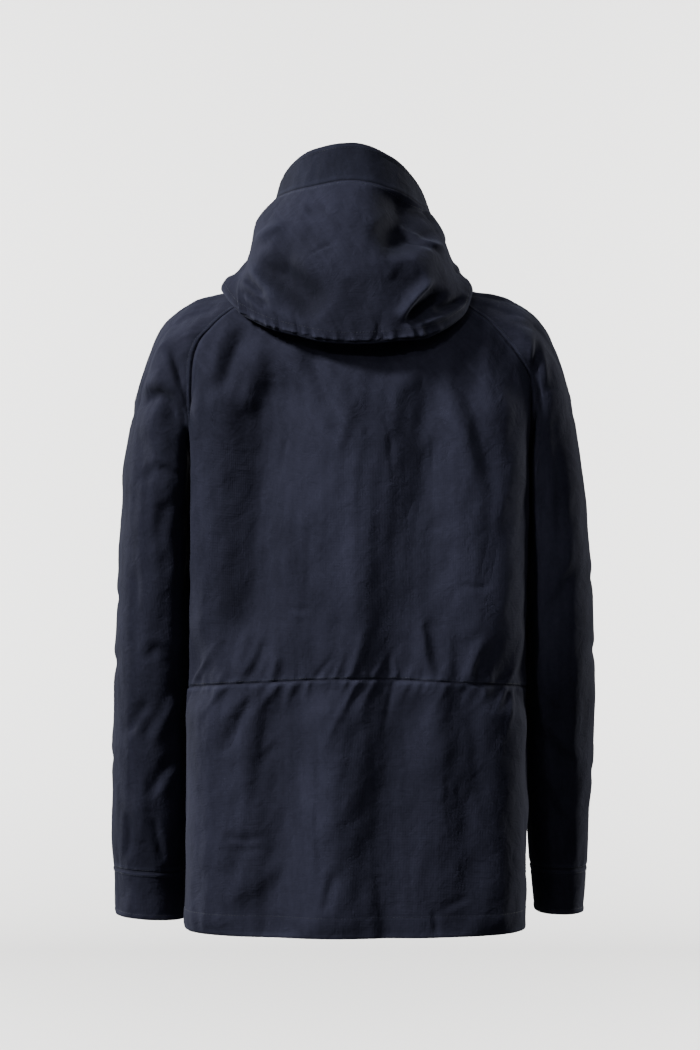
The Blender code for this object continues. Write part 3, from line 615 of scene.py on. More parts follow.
@dataclass
class SleeveForm:
    """A raglan sleeve: from the armhole over the shoulder into rings down a hanging arm."""

    side: Side
    body: BodyForm
    rings: Table
    cuff_top: float
    cuff_bottom: float
    head: float = -0.260
    neck_share: float = 0.08
    clearance: float = 0.002
    body_blend: float = 0.016
    squareness: float = 2.2
    twist: Table = SLEEVE_TWIST

    def armhole(self, turn: Array) -> tuple[Array, Array]:
        """Azimuth and height on the body of the sleeve's first edge.

        It climbs the back raglan seam, crosses the shoulder along the neckline and goes down the front
        seam.

        Args:
            turn: 0 at the underarm, 0.5 at the overarm seam by way of the back, 1 at the underarm.

        Returns:
            Azimuth in radians and height.
        """
        heights = self.body.raglan.rows[:, 0]
        back = turn <= 0.5
        share = np.where(back, turn, 1 - turn)
        seam_share = np.clip(share / (0.5 - self.neck_share), 0, 1)
        height = np.interp(seam_share, np.linspace(0, 1, len(heights)), heights)
        azimuth = self.body.raglan_azimuth(self.side, back, height)
        front_top = self.body.neck_height(np.radians(self.body.raglan.column("front")[-1]))
        bottom, top = heights[[0, -1]]
        height = np.where(back, height, bottom + (height - bottom) * (front_top - bottom) / (top - bottom))
        neck_part = np.clip((share - 0.5 + self.neck_share) / self.neck_share, 0, 1)
        on_neck = neck_part > 0
        azimuth = np.where(on_neck, azimuth + (self.side.value * math.pi / 2 - azimuth) * neck_part, azimuth)
        return azimuth, np.where(on_neck, self.body.neck_height(azimuth), height)

    def ring(self, turn: Array, height: Array) -> Array:
        """Points of the arm's rings, superellipses kept clear of the body beside them.

        Args:
            turn: Place round the sleeve, as in armhole.
            height: Height of the ring's middle (m).

        Returns:
            Points.
        """
        angle = 2 * math.pi * (turn + self.twist.at("lead", turn))
        power = self.squareness
        across = (np.abs(np.cos(angle)) / self.rings.at("half_width", height)) ** power
        along = (np.abs(np.sin(angle)) / self.rings.at("half_depth", height)) ** power
        reach = (across + along) ** (-1 / power)
        x = self.rings.at("x", height) - reach * np.cos(angle)
        y = self.rings.at("y", height) + reach * np.sin(angle)
        z = height - self.rings.at("tilt", height) * reach * np.cos(angle)
        beside = self.side.value * self.body.side_reach(self.side, y, height) + self.clearance
        x = soft_max(x, beside, self.body_blend)
        return np.stack([self.side.value * x, y, z], -1)

    def point(self, turn: Array, down: Array) -> Array:
        """Outer surface of the sleeve.

        The head is a cubic Hermite curve from the armhole to the first ring, leaving the body flush and
        reaching the ring downward.

        Args:
            turn: Place round the sleeve, as in armhole.
            down: 0 at the armhole, 1 at the head's ring, 2 at the cuff's bottom.

        Returns:
            Points.
        """
        turn, down = np.broadcast_arrays(np.asarray(turn, float) % 1.0, np.asarray(down, float))
        height = self.head + np.clip(down - 1, 0, 1) * (self.cuff_bottom - self.head)
        ring = self.ring(turn, height)
        azimuth, start_height = self.armhole(turn)
        first = self.body.point(azimuth, start_height)
        outward = self.leaving(azimuth, start_height)
        reach = np.linalg.norm(ring - first, axis=-1, keepdims=True)
        share = np.clip(down, 0, 1)[..., None]
        # The cloth leaves the body less strongly at the armpit, and hangs down more above it.
        from_underarm = np.minimum(turn, 1 - turn)[..., None]
        out_pull = reach * (0.5 + 0.5 * ease((from_underarm - 0.10) / 0.20))
        down_pull = reach * (1.0 + 1.6 * ease(from_underarm * 2.6))
        downward = np.array([self.side.value * 0.1, 0.0, -1.0])
        rest = 1 - share
        head = (
            first * (1 + 2 * share) * rest**2
            + ring * (1 + 2 * rest) * share**2
            + share * rest * (outward * out_pull * rest - downward * down_pull * share)
        )
        return np.where((down >= 1)[..., None], ring, head)

    def leaving(self, azimuth: Array, height: Array) -> Array:
        """How the sleeve leaves the body: sideways at the armpit, and flush with the body above it.

        Args:
            azimuth: Place on the body's armhole (radians).
            height: Its height (m).

        Returns:
            Unit vectors.
        """
        normal = surface_grid(self.body.point, azimuth, height)[1]
        sideways = np.zeros_like(normal)
        sideways[..., 0] = self.side.value
        flush = ease((height + 0.11) / 0.06)[..., None]
        way = sideways - normal * np.sum(sideways * normal, -1, keepdims=True) * flush
        return way / np.linalg.norm(way, axis=-1, keepdims=True)

    def down_at(self, height: float) -> float:
        """The down parameter of a ring's height."""
        return 1 + (height - self.head) / (self.cuff_bottom - self.head)


HOOD_POUCH = Table("azimuth roll_out roll_up fold_out fold_height bulge_out bulge_height", [
    (-180, 0.0945, -0.052, 0.093, -0.044, 0.091, -0.034),
    (-140, 0.096, -0.022, 0.1, -0.016, 0.098, -0.004),
    (-110, 0.103, -0.01, 0.112, -0.003, 0.109, 0.012),
    (-80, 0.106, 0.0, 0.12, -0.022, 0.112, 0.01),
    (-63, 0.105, 0.005, 0.151, -0.052, 0.132, -0.012),
    (-52, 0.101, 0.01, 0.158, -0.073, 0.144, -0.022),
    (-28, 0.086, 0.012, 0.156, -0.1, 0.16, -0.034),
    (0, 0.076, 0.012, 0.148, -0.106, 0.16, -0.034),
    (28, 0.086, 0.012, 0.152, -0.094, 0.158, -0.028),
    (52, 0.101, 0.01, 0.16, -0.068, 0.149, -0.016),
    (64, 0.105, 0.005, 0.16, -0.046, 0.134, -0.006),
    (80, 0.106, 0.0, 0.124, -0.02, 0.116, 0.01),
    (110, 0.103, -0.01, 0.112, -0.003, 0.109, 0.012),
    (140, 0.096, -0.022, 0.1, -0.016, 0.098, -0.004),
    (180, 0.0945, -0.052, 0.093, -0.044, 0.091, -0.034),
])

HOOD_RIM = Table("azimuth brow_out brow_height seam_out seam_height edge_out edge_height", [
    (-180, 0.089, -0.027, 0.087, -0.02, 0.083, -0.006),
    (-140, 0.096, 0.006, 0.092, 0.014, 0.086, 0.026),
    (-110, 0.104, 0.024, 0.096, 0.036, 0.09, 0.048),
    (-80, 0.105, 0.036, 0.092, 0.056, 0.087, 0.07),
    (-55, 0.122, 0.03, 0.1, 0.059, 0.089, 0.09),
    (-28, 0.138, 0.026, 0.106, 0.073, 0.092, 0.114),
    (0, 0.142, 0.028, 0.108, 0.083, 0.094, 0.127),
    (28, 0.14, 0.028, 0.106, 0.077, 0.092, 0.121),
    (55, 0.131, 0.036, 0.1, 0.072, 0.089, 0.104),
    (80, 0.111, 0.042, 0.092, 0.069, 0.087, 0.083),
    (110, 0.106, 0.032, 0.094, 0.044, 0.089, 0.058),
    (140, 0.096, 0.006, 0.092, 0.014, 0.086, 0.026),
    (180, 0.089, -0.027, 0.087, -0.02, 0.083, -0.006),
])


@dataclass
class HoodForm:
    """The hood lying open behind the neck, as one section for each azimuth round it."""

    body: BodyForm
    side_seam: float = 80.0
    clearance: float = 0.008
    neck_gap: float = 0.0010
    fold_half_width: float = 0.005
    roll_height: float = 0.005
    fold_drop: float = 0.010
    fold_end: float = 124.0
    fold_fade: float = 24.0
    knots: tuple[float, ...] = (0.0, 0.3, 0.6, 0.88, 1.0, 1.08, 1.4, 1.75, 2.0, 3.0)
    pouch: Table = HOOD_POUCH
    rim: Table = HOOD_RIM

    def point(self, azimuth: Array, along: Array) -> Array:
        """Outer surface of the hood.

        Args:
            azimuth: Radians from the middle of the back toward the wearer's left.
            along: 0 at the neckline, 1 at the bottom fold, 2 at the visor's seam, 3 at the face edge.

        Returns:
            Points.
        """
        azimuth, along = np.broadcast_arrays(np.asarray(azimuth, float), np.asarray(along, float))
        degrees = np.degrees(azimuth)
        neck = self.body.point(azimuth, self.body.neck_height(azimuth))
        fold_out = self.pouch.at("fold_out", degrees)
        roll_out = self.pouch.at("roll_out", degrees)
        fold_height = self.above_shoulder(azimuth, fold_out, self.pouch.at("fold_height", degrees))
        roll_up = self.above_shoulder(azimuth, roll_out, self.pouch.at("roll_up", degrees))
        rest_out = (roll_out + fold_out) / 2
        rest_height = self.above_shoulder(azimuth, rest_out, (roll_up + fold_height) / 2)
        depth = ease((rest_height - fold_height) / self.fold_drop)
        width = self.fold_half_width * ease((self.fold_end - np.abs(degrees)) / self.fold_fade)
        outs = [np.hypot(neck[..., 0], neck[..., 1]), roll_out, rest_out, fold_out - width, fold_out]
        outs += [fold_out + width, self.pouch.at("bulge_out", degrees)]
        outs += [self.rim.at(name, degrees) for name in ("brow_out", "seam_out", "edge_out")]
        heights = [neck[..., 2] + self.neck_gap, roll_up, rest_height]
        heights += [fold_height + self.roll_height * (1.3 * depth - 0.3), fold_height]
        heights += [fold_height + self.roll_height * (0.5 * depth + 0.5)]
        heights += [self.pouch.at("bulge_height", degrees)]
        heights += [self.rim.at(name, degrees) for name in ("brow_height", "seam_height", "edge_height")]
        out = through(self.knots, outs, along)
        height = through(self.knots, heights, along)
        return np.stack([out * np.sin(azimuth), out * np.cos(azimuth), height], -1)

    def above_shoulder(self, azimuth: Array, out: Array, height: Array) -> Array:
        """A height no lower than the shoulders allow."""
        return soft_max(height, self.body.top(out * np.sin(azimuth), out * np.cos(azimuth)) + self.clearance)


# ---- finishes


def srgb(colour: str) -> tuple[float, float, float, float]:
    """Linear colour of an sRGB hex value.

    Args:
        colour: Six hex digits, such as "1D222C".

    Returns:
        Linear red, green and blue, and full alpha.
    """
    parts = [int(colour[i : i + 2], 16) / 255 for i in (0, 2, 4)]
    linear = [p / 12.92 if p <= 0.04045 else ((p + 0.055) / 1.055) ** 2.4 for p in parts]
    return (*linear, 1.0)


def add_node(tree: Tree, kind: str, settings: dict, links: dict) -> Node:
    """Adds one shader node.

    Args:
        tree: The material's node tree.
        kind: The node's type, without its ShaderNode prefix.
        settings: Attributes, or input names and numbers, to set on it.
        links: Input names and the sockets that feed them.

    Returns:
        The node.
    """
    made = tree.nodes.new("ShaderNode" + kind)
    for name, value in settings.items():
        if hasattr(made, name):
            setattr(made, name, value)
        else:
            made.inputs[name].default_value = value
    for name, source in links.items():
        tree.links.new(source, made.inputs[name])
    return made


def start_material(name: str, settings: dict) -> tuple[Material, Tree, Node]:
    """Makes a material with one principled shader.

    Args:
        name: The material's name.
        settings: Input names of the shader and their constants.

    Returns:
        The material, its node tree and its shader.
    """
    made = bpy.data.materials.new(name)
    made.use_nodes = True
    shader = made.node_tree.nodes["Principled BSDF"]
    for socket, value in settings.items():
        shader.inputs[socket].default_value = value
    return made, made.node_tree, shader


def blend(tree: Tree, share: Socket, first: Colour, second: Colour) -> Socket:
    """Mixes two colours.

    Args:
        tree: The material's node tree.
        share: How much of the second colour, from 0 to 1.
        first: A hex value, or a socket that gives a colour.
        second: Another one.

    Returns:
        The mixed colour's socket.
    """
    mix = add_node(tree, "Mix", {"data_type": "RGBA"}, {0: share})
    for socket, colour in ((6, first), (7, second)):
        if isinstance(colour, str):
            mix.inputs[socket].default_value = srgb(colour)
        else:
            tree.links.new(colour, mix.inputs[socket])
    return mix.outputs[2]


def weighted(tree: Tree, value: Socket, weight: float, added: Socket) -> Socket:
    """Adds a weighted value to another.

    Args:
        tree: The material's node tree.
        value: The value that is weighted.
        weight: Its weight.
        added: The other value.

    Returns:
        The socket of value * weight + added.
    """
    made = add_node(tree, "Math", {"operation": "MULTIPLY_ADD"}, {0: value, 2: added})
    made.inputs[1].default_value = weight
    return made.outputs[0]


@dataclass(frozen=True)
class CottonFinish:
    """Dense ventile cotton, piece-dyed ink navy.

    The close plain weave gives a flat, violet-blue navy without gloss, mottled by washing and handling,
    faintly streaked along the warp, and a little paler where seams have rubbed. Painted shade darkens each
    seam's line and the folds' hollows, and fold ridges are paler, part rubbing and part painted highlight.
    faintly streaked along the warp, and a little paler where seams have rubbed.
    """

    name: str = "ventile_cotton_ink_navy"
    deep: str = "1A1B27"
    pale: str = "303141"
    # Paler colour on rubbed seams, which is rubbing, and on fold ridges, part rubbing and part painted
    # highlight.
    worn: str = "3A3C4E"
    bloom: str = "9AA6CC"
    roughness: float = 0.92
    gloss: float = 0.16
    rub: float = 0.35
    # Share of the near-black colour below: painted shade in each seam's line and in fold hollows.
    painted_shade_share: float = 0.38
    line: str = "07080C"
    sheen: float = 0.05
    patch: float = 0.110
    streak: tuple[float, float] = (0.011, 0.070)
    streak_share: float = 0.55
    fleck: float = 0.0045
    fleck_share: float = 0.35
    crumple: float = 0.018
    crumple_height: float = 0.004
    crumple_strength: float = 0.45
    thread: float = 0.0009  # real threads lie 0.35 mm apart, drawn coarser so that they show
    weave_height: float = 0.0003
    weave_strength: float = 0.30

    def make(self) -> Material:
        """Builds the material: mottled and streaked navies, worn seams, weave and crumple as bump.

        Returns:
            The material.
        """
        settings = {
            "Roughness": self.roughness,
            "IOR": 1.47,
            "Specular IOR Level": self.gloss,
            "Sheen Weight": self.sheen,
            "Sheen Roughness": 0.5,
            "Sheen Tint": srgb(self.bloom),
        }
        made, tree, shader = start_material(self.name, settings)
        place = add_node(tree, "TexCoord", {}, {}).outputs["Object"]
        cut = add_node(tree, "UVMap", {"uv_map": "cut"}, {}).outputs["UV"]
        tree.links.new(self.colour(tree, place, cut), shader.inputs["Base Color"])
        tree.links.new(self.surface(tree, place, cut), shader.inputs["Normal"])
        return made

    def noise(self, tree: Tree, size: tuple[float, float, float], detail: float, place: Socket) -> Socket:
        """Noise between 0 and 1.

        Args:
            tree: The material's node tree.
            size: Usual size of a spot each way (m).
            detail: How many finer layers lie over it.
            place: Where to read it.

        Returns:
            The noise's socket, its middle values spread over the whole range.
        """
        scaled = add_node(tree, "Mapping", {"Scale": tuple(1 / side for side in size)}, {"Vector": place})
        look = {"Scale": 1.0, "Detail": detail, "Roughness": 0.62}
        spots = add_node(tree, "TexNoise", look, {"Vector": scaled.outputs[0]})
        spread = {"From Min": 0.30, "From Max": 0.70}
        return add_node(tree, "MapRange", spread, {"Value": spots.outputs[0]}).outputs[0]

    def colour(self, tree: Tree, place: Socket, cut: Socket) -> Socket:
        """Deep to pale navy by patches, streaks and flecks together, paler where rubbed and on fold ridges
        (part painted highlight), with painted shade in the seams' dark line and in fold hollows.

        Args:
            tree: The material's node tree.
            place: Where the cloth is.
            cut: Where it is in the piece as cut, so that streaks follow the warp.

        Returns:
            The colour's socket.
        """
        wide, tall = self.streak
        patches = self.noise(tree, (self.patch,) * 3, 4.0, place)
        streaks = self.noise(tree, (wide, tall, 1.0), 3.0, cut)
        flecks = self.noise(tree, (self.fleck,) * 3, 2.0, place)
        tone = weighted(tree, flecks, self.fleck_share, weighted(tree, streaks, self.streak_share, patches))
        whole = 1 + self.streak_share + self.fleck_share
        share = add_node(tree, "MapRange", {"From Max": whole}, {"Value": tone}).outputs[0]
        # Below 0 the tone attribute darkens toward the near-black colour as painted shade; above 0 it pales,
        # as rubbing and painted highlight.
        wear_and_painted_shade = add_node(tree, "Attribute", {"attribute_name": "wear_and_painted_shade"}, {}).outputs["Fac"]
        rubbed = add_node(tree, "MapRange", {"To Max": self.rub}, {"Value": wear_and_painted_shade}).outputs[0]
        sunk = {"From Max": -1.0, "To Max": self.painted_shade_share}
        painted_shade_share = add_node(tree, "MapRange", sunk, {"Value": wear_and_painted_shade}).outputs[0]
        worn = blend(tree, rubbed, blend(tree, share, self.deep, self.pale), self.worn)
        return blend(tree, painted_shade_share, worn, self.line)

    def surface(self, tree: Tree, place: Socket, cut: Socket) -> Socket:
        """Crumple of handled cloth, with the plain weave's crossed bands over it.

        Args:
            tree: The material's node tree.
            place: Where the cloth is.
            cut: Where it is in the piece as cut, so that the threads follow the grain.

        Returns:
            The socket of the bumped normal.
        """
        look = {"Scale": 1 / self.crumple, "Detail": 3.0, "Roughness": 0.55, "Distortion": 0.6}
        soft = add_node(tree, "TexNoise", look, {"Vector": place}).outputs[0]
        size = {"Strength": self.crumple_strength, "Distance": self.crumple_height}
        crumple = add_node(tree, "Bump", size, {"Height": soft}).outputs["Normal"]
        look = {"Scale": 0.5 / self.thread / math.pi, "Distortion": 1.2, "Detail": 1.0, "Detail Scale": 0.4}
        bands = [
            add_node(tree, "TexWave", {"bands_direction": way} | look, {"Vector": cut}).outputs["Fac"]
            for way in ("X", "Y")
        ]
        crossed = add_node(tree, "Math", {"operation": "ADD"}, {0: bands[0], 1: bands[1]}).outputs[0]
        size = {"Strength": self.weave_strength, "Distance": self.weave_height}
        return add_node(tree, "Bump", size, {"Height": crossed, "Normal": crumple}).outputs["Normal"]


@dataclass(frozen=True)
class ThreadFinish:
    """Waxed polyester thread, one shade off the cloth, with a small hard gleam on each stitch."""

    name: str = "polyester_thread_navy"
    colour: str = "171B25"
    lit: str = "222836"
    roughness: float = 0.55
    ply_per_m: float = 900.0
    ply_height: float = 0.0002

    def make(self) -> Material:
        """Builds the material, its ply as fine bump.

        Returns:
            The material.
        """
        made, tree, shader = start_material(self.name, {"Roughness": self.roughness})
        place = add_node(tree, "TexCoord", {}, {}).outputs["Object"]
        look = {"Scale": self.ply_per_m, "Detail": 2.0}
        ply = add_node(tree, "TexNoise", look, {"Vector": place}).outputs["Fac"]
        tree.links.new(blend(tree, ply, self.colour, self.lit), shader.inputs["Base Color"])
        bump = add_node(tree, "Bump", {"Strength": 0.4, "Distance": self.ply_height}, {"Height": ply})
        tree.links.new(bump.outputs["Normal"], shader.inputs["Normal"])
        return made


@dataclass(frozen=True)
class EnamelFinish:
    """Pressed brass snap cap under satin dark enamel: a soft round highlight and rubbed rims."""

    name: str = "enamelled_brass_snap"
    colour: str = "15181F"
    rubbed: str = "2A2E38"
    smoothest: float = 0.30
    roughest: float = 0.52
    flecks_per_m: float = 700.0

    def make(self) -> Material:
        """Builds the material, slightly uneven in colour and gloss.

        Returns:
            The material.
        """
        settings = {"Metallic": 0.35, "Coat Weight": 0.25, "Coat Roughness": 0.30}
        made, tree, shader = start_material(self.name, settings)
        place = add_node(tree, "TexCoord", {}, {}).outputs["Object"]
        look = {"Scale": self.flecks_per_m, "Detail": 3.0}
        fleck = add_node(tree, "TexNoise", look, {"Vector": place}).outputs["Fac"]
        tree.links.new(blend(tree, fleck, self.colour, self.rubbed), shader.inputs["Base Color"])
        reach = {"To Min": self.smoothest, "To Max": self.roughest}
        gloss = add_node(tree, "MapRange", reach, {"Value": fleck})
        tree.links.new(gloss.outputs["Result"], shader.inputs["Roughness"])
        return made


@dataclass(frozen=True)
class PaperFinish:
    """Matt background paper, an even pale warm grey."""

    name: str = "studio_paper"
    colour: str = "E6E5E3"

    def make(self) -> Material:
        """Builds the material."""
        settings = {"Base Color": srgb(self.colour), "Roughness": 0.95, "Specular IOR Level": 0.1}
        return start_material(self.name, settings)[0]


# ---- meshes


def add_mesh(name: str, points: Array, faces: list[list[int]], material: Material) -> Object:
    """Makes a smooth-shaded object at the origin.

    Args:
        name: The piece's name.
        points: Its points, in any grid shape.
        faces: The points' numbers round each face.
        material: Its finish.

    Returns:
        The object.
    """
    mesh = bpy.data.meshes.new(name)
    mesh.from_pydata(points.reshape(-1, 3).tolist(), [], faces)
    mesh.shade_smooth()
    mesh.materials.append(material)
    made = bpy.data.objects.new(name, mesh)
    bpy.context.scene.collection.objects.link(made)
    return made


def face_outward(made: Object) -> None:
    """Turns a closed mesh's faces outward.

    Args:
        made: The object whose mesh is turned.
    """
    shape = bmesh.new()
    shape.from_mesh(made.data)
    bmesh.ops.recalc_face_normals(shape, faces=shape.faces)
    if shape.calc_volume(signed=True) < 0:
        bmesh.ops.reverse_faces(shape, faces=shape.faces)
    shape.to_mesh(made.data)
    shape.free()


@dataclass
class Sheet:
    """One piece of cloth as a closed thin shell: a fine outer grid over a coarser inner one.

    The grid's first index runs along the piece and its second across it. Folds move both walls, and
    gathers, seam rolls and the slight waviness of worn cloth only the outer one. At a seam the inner
    wall is tucked under the next piece, as a seam allowance is, so that no light comes through.

    Lengths are in metres. The inner wall keeps every thin_by-th point; tucks gives an edge its own
    allowance; still holds folds back from an edge over a distance; quiet fades all relief where it
    gives 0. The last field says how much paler fold ridges are drawn, part rubbing and part painted
    highlight, and how much darker fold hollows are drawn, as painted shade.
    """

    name: str
    points: Array
    normal: Array
    cut: tuple[float, float]
    joins: dict[Edge, Join]
    folds: tuple[Folds, ...] = ()
    gathers: tuple[tuple[Edge, Puckers], ...] = ()
    wall: float = 0.0016
    gap: float = 0.0001
    tuck: float = 0.0018
    tucks: dict[Edge, float] = field(default_factory=dict)
    waviness: float = 0.0010
    thin_by: int = 2
    rests_on: tuple[str, ...] = ()
    still: dict[Edge, float] = field(default_factory=dict)
    quiet: Callable[[Array], Array] | None = None
    handled: float = 0.20

    def __post_init__(self) -> None:
        """Measures the grid and raises its relief."""
        self.across = step_lengths(self.points, 1)
        self.along = step_lengths(self.points, 0)
        self.away = {
            Edge.FIRST_ROW: self.along,
            Edge.LAST_ROW: self.along[-1:] - self.along,
            Edge.FIRST_COLUMN: self.across,
            Edge.LAST_COLUMN: self.across[:, -1:] - self.across,
        }
        self.base = self.shifted(self.points, -self.gap, {})
        flat = np.zeros(self.points.shape[:2])
        big = sum((fold.relief(self.points, self.normal) for fold in self.folds), flat)
        for edge, reach in self.still.items():
            big *= ease(self.away[edge] / reach - 0.1)
        slow = drift(self.points, scale=0.060, seed=3, waves=12)
        quick = drift(self.points, scale=0.020, seed=4, waves=24, hang=0.4)
        fine = self.waviness * (slow + 0.45 * quick)
        for edge in self.joins:
            fine *= ease(self.away[edge] / 0.006) * 0.6 + 0.4
        for edge, row in self.gathers:
            lengthwise = self.along if edge.value[0] else self.across
            fine = fine + row.relief(lengthwise, self.away[edge])
        if self.quiet is not None:
            calm = self.quiet(self.points)
            big, fine = big * calm, fine * calm
        self.lifted = big
        fine = fine + self.seam_relief()
        self.outer = self.base + self.normal * (big + fine)[..., None]
        inner = (self.base + self.normal * (big - self.wall)[..., None])[:: self.thin_by, :: self.thin_by]
        self.inner = self.shifted(inner, self.tuck, self.tucks)

    def shifted(self, grid: Array, distance: float, own: dict[Edge, float]) -> Array:
        """Moves a grid's seamed edges outward along the cloth.

        Args:
            grid: Grid of points.
            distance: How far the edges move (m); below 0 they move back.
            own: Edges that move by a distance of their own.

        Returns:
            The moved grid.
        """
        points = grid.copy()
        for edge, join in self.joins.items():
            if join in (Join.SEAM, Join.FELLED):
                way = edge.line(points) - edge.line(points, 1)
                line = edge.line(points)
                line += way / np.linalg.norm(way, axis=-1, keepdims=True) * own.get(edge, distance)
        return points

    def seam_relief(self) -> Array:
        """Roll of each joined edge, and the cloth doubled under it with the stitches' groove.

        Returns:
            Height for each point (m).
        """
        total = np.zeros(self.points.shape[:2])
        for edge, join in self.joins.items():
            roll, width, lift = join.value
            away = self.away[edge]
            total -= roll * np.exp(-((away / ROLL_WIDTH) ** 2))
            if width:
                total += lift * ease((width - away) / 0.003)
                total -= GROOVE_DEPTH * np.exp(-(((away - width + GROOVE_INSET) / GROOVE_WIDTH) ** 2))
        return total

    def trail(self, edge: Edge, distance: float) -> tuple[Array, Array]:
        """The line that runs along an edge, a distance inside it.

        Args:
            edge: Which edge.
            distance: How far inside it (m).

        Returns:
            The line's points, and unit vectors out of the cloth there.
        """
        away = self.away[edge]
        outer, normal = self.outer, self.normal
        axis, end = edge.value
        if axis:
            away, outer, normal = away.T, outer.swapaxes(0, 1), normal.swapaxes(0, 1)
        if end:
            away, outer, normal = away[::-1], outer[::-1], normal[::-1]
        before = np.clip((away < distance).sum(0) - 1, 0, len(away) - 2)
        lane = np.arange(away.shape[1])
        low, high = away[before, lane], away[before + 1, lane]
        part = np.clip((distance - low) / np.maximum(high - low, 1e-9), 0, 1)[:, None]
        points = outer[before, lane] * (1 - part) + outer[before + 1, lane] * part
        return points, normal[before, lane]

    def build(self, finish: Material) -> None:
        """Makes the shell, its cut-out coordinates and its tone of rubbing and painted shade, and puts it on
        the frame.

        Args:
            finish: The cloth's material.
        """
        rows, columns = self.outer.shape[:2]
        inner_rows, inner_columns = self.inner.shape[:2]
        points = np.concatenate([self.outer.reshape(-1, 3), self.inner.reshape(-1, 3)])
        faces = grid_faces(rows, columns).tolist()
        faces += (grid_faces(inner_rows, inner_columns) + rows * columns)[:, ::-1].tolist()
        faces += self.rim_faces().tolist()
        made = add_mesh(self.name, points, faces, finish)
        made.data.set_sharp_from_angle(angle=math.radians(60))
        face_outward(made)
        self.mark(made)
        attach(made, "root")
        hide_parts(self.name.replace("cloth_", ""))

    def rim_faces(self) -> Array:
        """Faces that close the shell's edges, one for each step of the coarser inner grid.

        Returns:
            The points' numbers round each face, in one row for each.
        """
        outer = np.arange(self.outer[..., 0].size).reshape(self.outer.shape[:2])
        inner = outer.size + np.arange(self.inner[..., 0].size).reshape(self.inner.shape[:2])
        step = self.thin_by

        def strip(line: Array, under: Array, turned: bool) -> Array:
            """Joins one edge of the outer grid to the same edge of the inner one.

            Args:
                line: Points of the outer edge.
                under: Points of the inner edge.
                turned: Whether the faces are wound the other way.

            Returns:
                The faces' corners, a row for each face.
            """
            start = np.arange(0, len(line) - 1, step)
            along = line[start[:, None] + np.arange(step + 1)]
            faces = np.concatenate([along, under[start // step + 1, None], under[start // step, None]], 1)
            return np.roll(faces[:, ::-1], -2, 1) if turned else faces

        pairs = (
            (strip(outer[0], inner[0], True), strip(outer[-1], inner[-1], False)),
            (strip(outer[:, 0], inner[:, 0], False), strip(outer[:, -1], inner[:, -1], True)),
        )
        return np.concatenate([np.stack(pair, 1).reshape(-1, step + 3) for pair in pairs])

    def mark(self, made: Object) -> None:
        """Stores the cloth's own coordinates (m) as the map "cut", and its seams as "wear".

        The tone is above 0 on the rubbed swell beside a seam, which is rubbing, and on the ridges of folds,
        part rubbing and part painted highlight; it is below 0 in the dark line of the seam and in fold
        hollows, which is painted shade.

        Args:
            made: The sheet's object.
        """
        mesh = made.data
        step = self.thin_by
        cut = np.stack([self.across, self.along], -1)
        flat = np.concatenate([cut.reshape(-1, 2), cut[::step, ::step].reshape(-1, 2)])
        nearest = np.min([self.away[edge] for edge in self.joins], axis=0)
        # Rubbing on the swell beside a seam, painted shade along its line, then paler ridges (part painted
        # highlight) and painted shade in fold hollows.
        wear_and_painted_shade = np.exp(-(((nearest - RUBBED_PLACE) / RUBBED_WIDTH) ** 2))
        wear_and_painted_shade -= SEAM_LINE_SHADE * np.exp(-((nearest / LINE_WIDTH) ** 2))
        wear_and_painted_shade = np.clip(wear_and_painted_shade + self.handled * np.tanh(self.lifted / RIDGE_HEIGHT), -SEAM_LINE_SHADE, 1.0)
        wear_and_painted_shade = np.concatenate([wear_and_painted_shade.reshape(-1), wear_and_painted_shade[::step, ::step].reshape(-1) * 0])
        corner = np.empty(len(mesh.loops), np.int32)
        mesh.loops.foreach_get("vertex_index", corner)
        layer = mesh.uv_layers.new(name="cut")
        layer.data.foreach_set("uv", flat[corner].astype(np.float32).ravel())
        mark = mesh.attributes.new("wear_and_painted_shade", "FLOAT", "POINT")
        mark.data.foreach_set("value", wear_and_painted_shade.astype(np.float32))


def grid_faces(rows: int, columns: int) -> Array:
    """Four-sided faces of a grid of points.

    Args:
        rows: How many rows of points.
        columns: How many points in each.

    Returns:
        The four points' numbers, in one row for each face.
    """
    first = np.arange(rows - 1)[:, None] * columns + np.arange(columns - 1)
    return np.stack([first, first + 1, first + 1 + columns, first + columns], -1).reshape(-1, 4)


def tube_faces(rings: int, sides: int) -> Array:
    """Four-sided faces of a tube made of rings of points.

    Args:
        rings: How many rings.
        sides: How many points in each; the last is joined to the first.

    Returns:
        The four points' numbers, in one row for each face.
    """
    start, side = np.arange(rings - 1)[:, None] * sides, np.arange(sides)
    first, second = start + side, start + (side + 1) % sides
    return np.stack([first, second, second + sides, first + sides], -1).reshape(-1, 4)


def odd(count: int, step: int) -> int:
    """The next count of points that a coarser grid of every step-th point ends on."""
    return count + (-(count - 1)) % step


def regular(share: Array, step: int = 2) -> Array:
    """Shares resampled so that their count suits a thinned grid.

    Args:
        share: Rising shares from 0 to 1.
        step: The coarser grid keeps every step-th of them.

    Returns:
        Rising shares from 0 to 1.
    """
    count = odd(len(share), step)
    if count == len(share):
        return share
    return np.interp(np.linspace(0, 1, count), np.linspace(0, 1, len(share)), share)


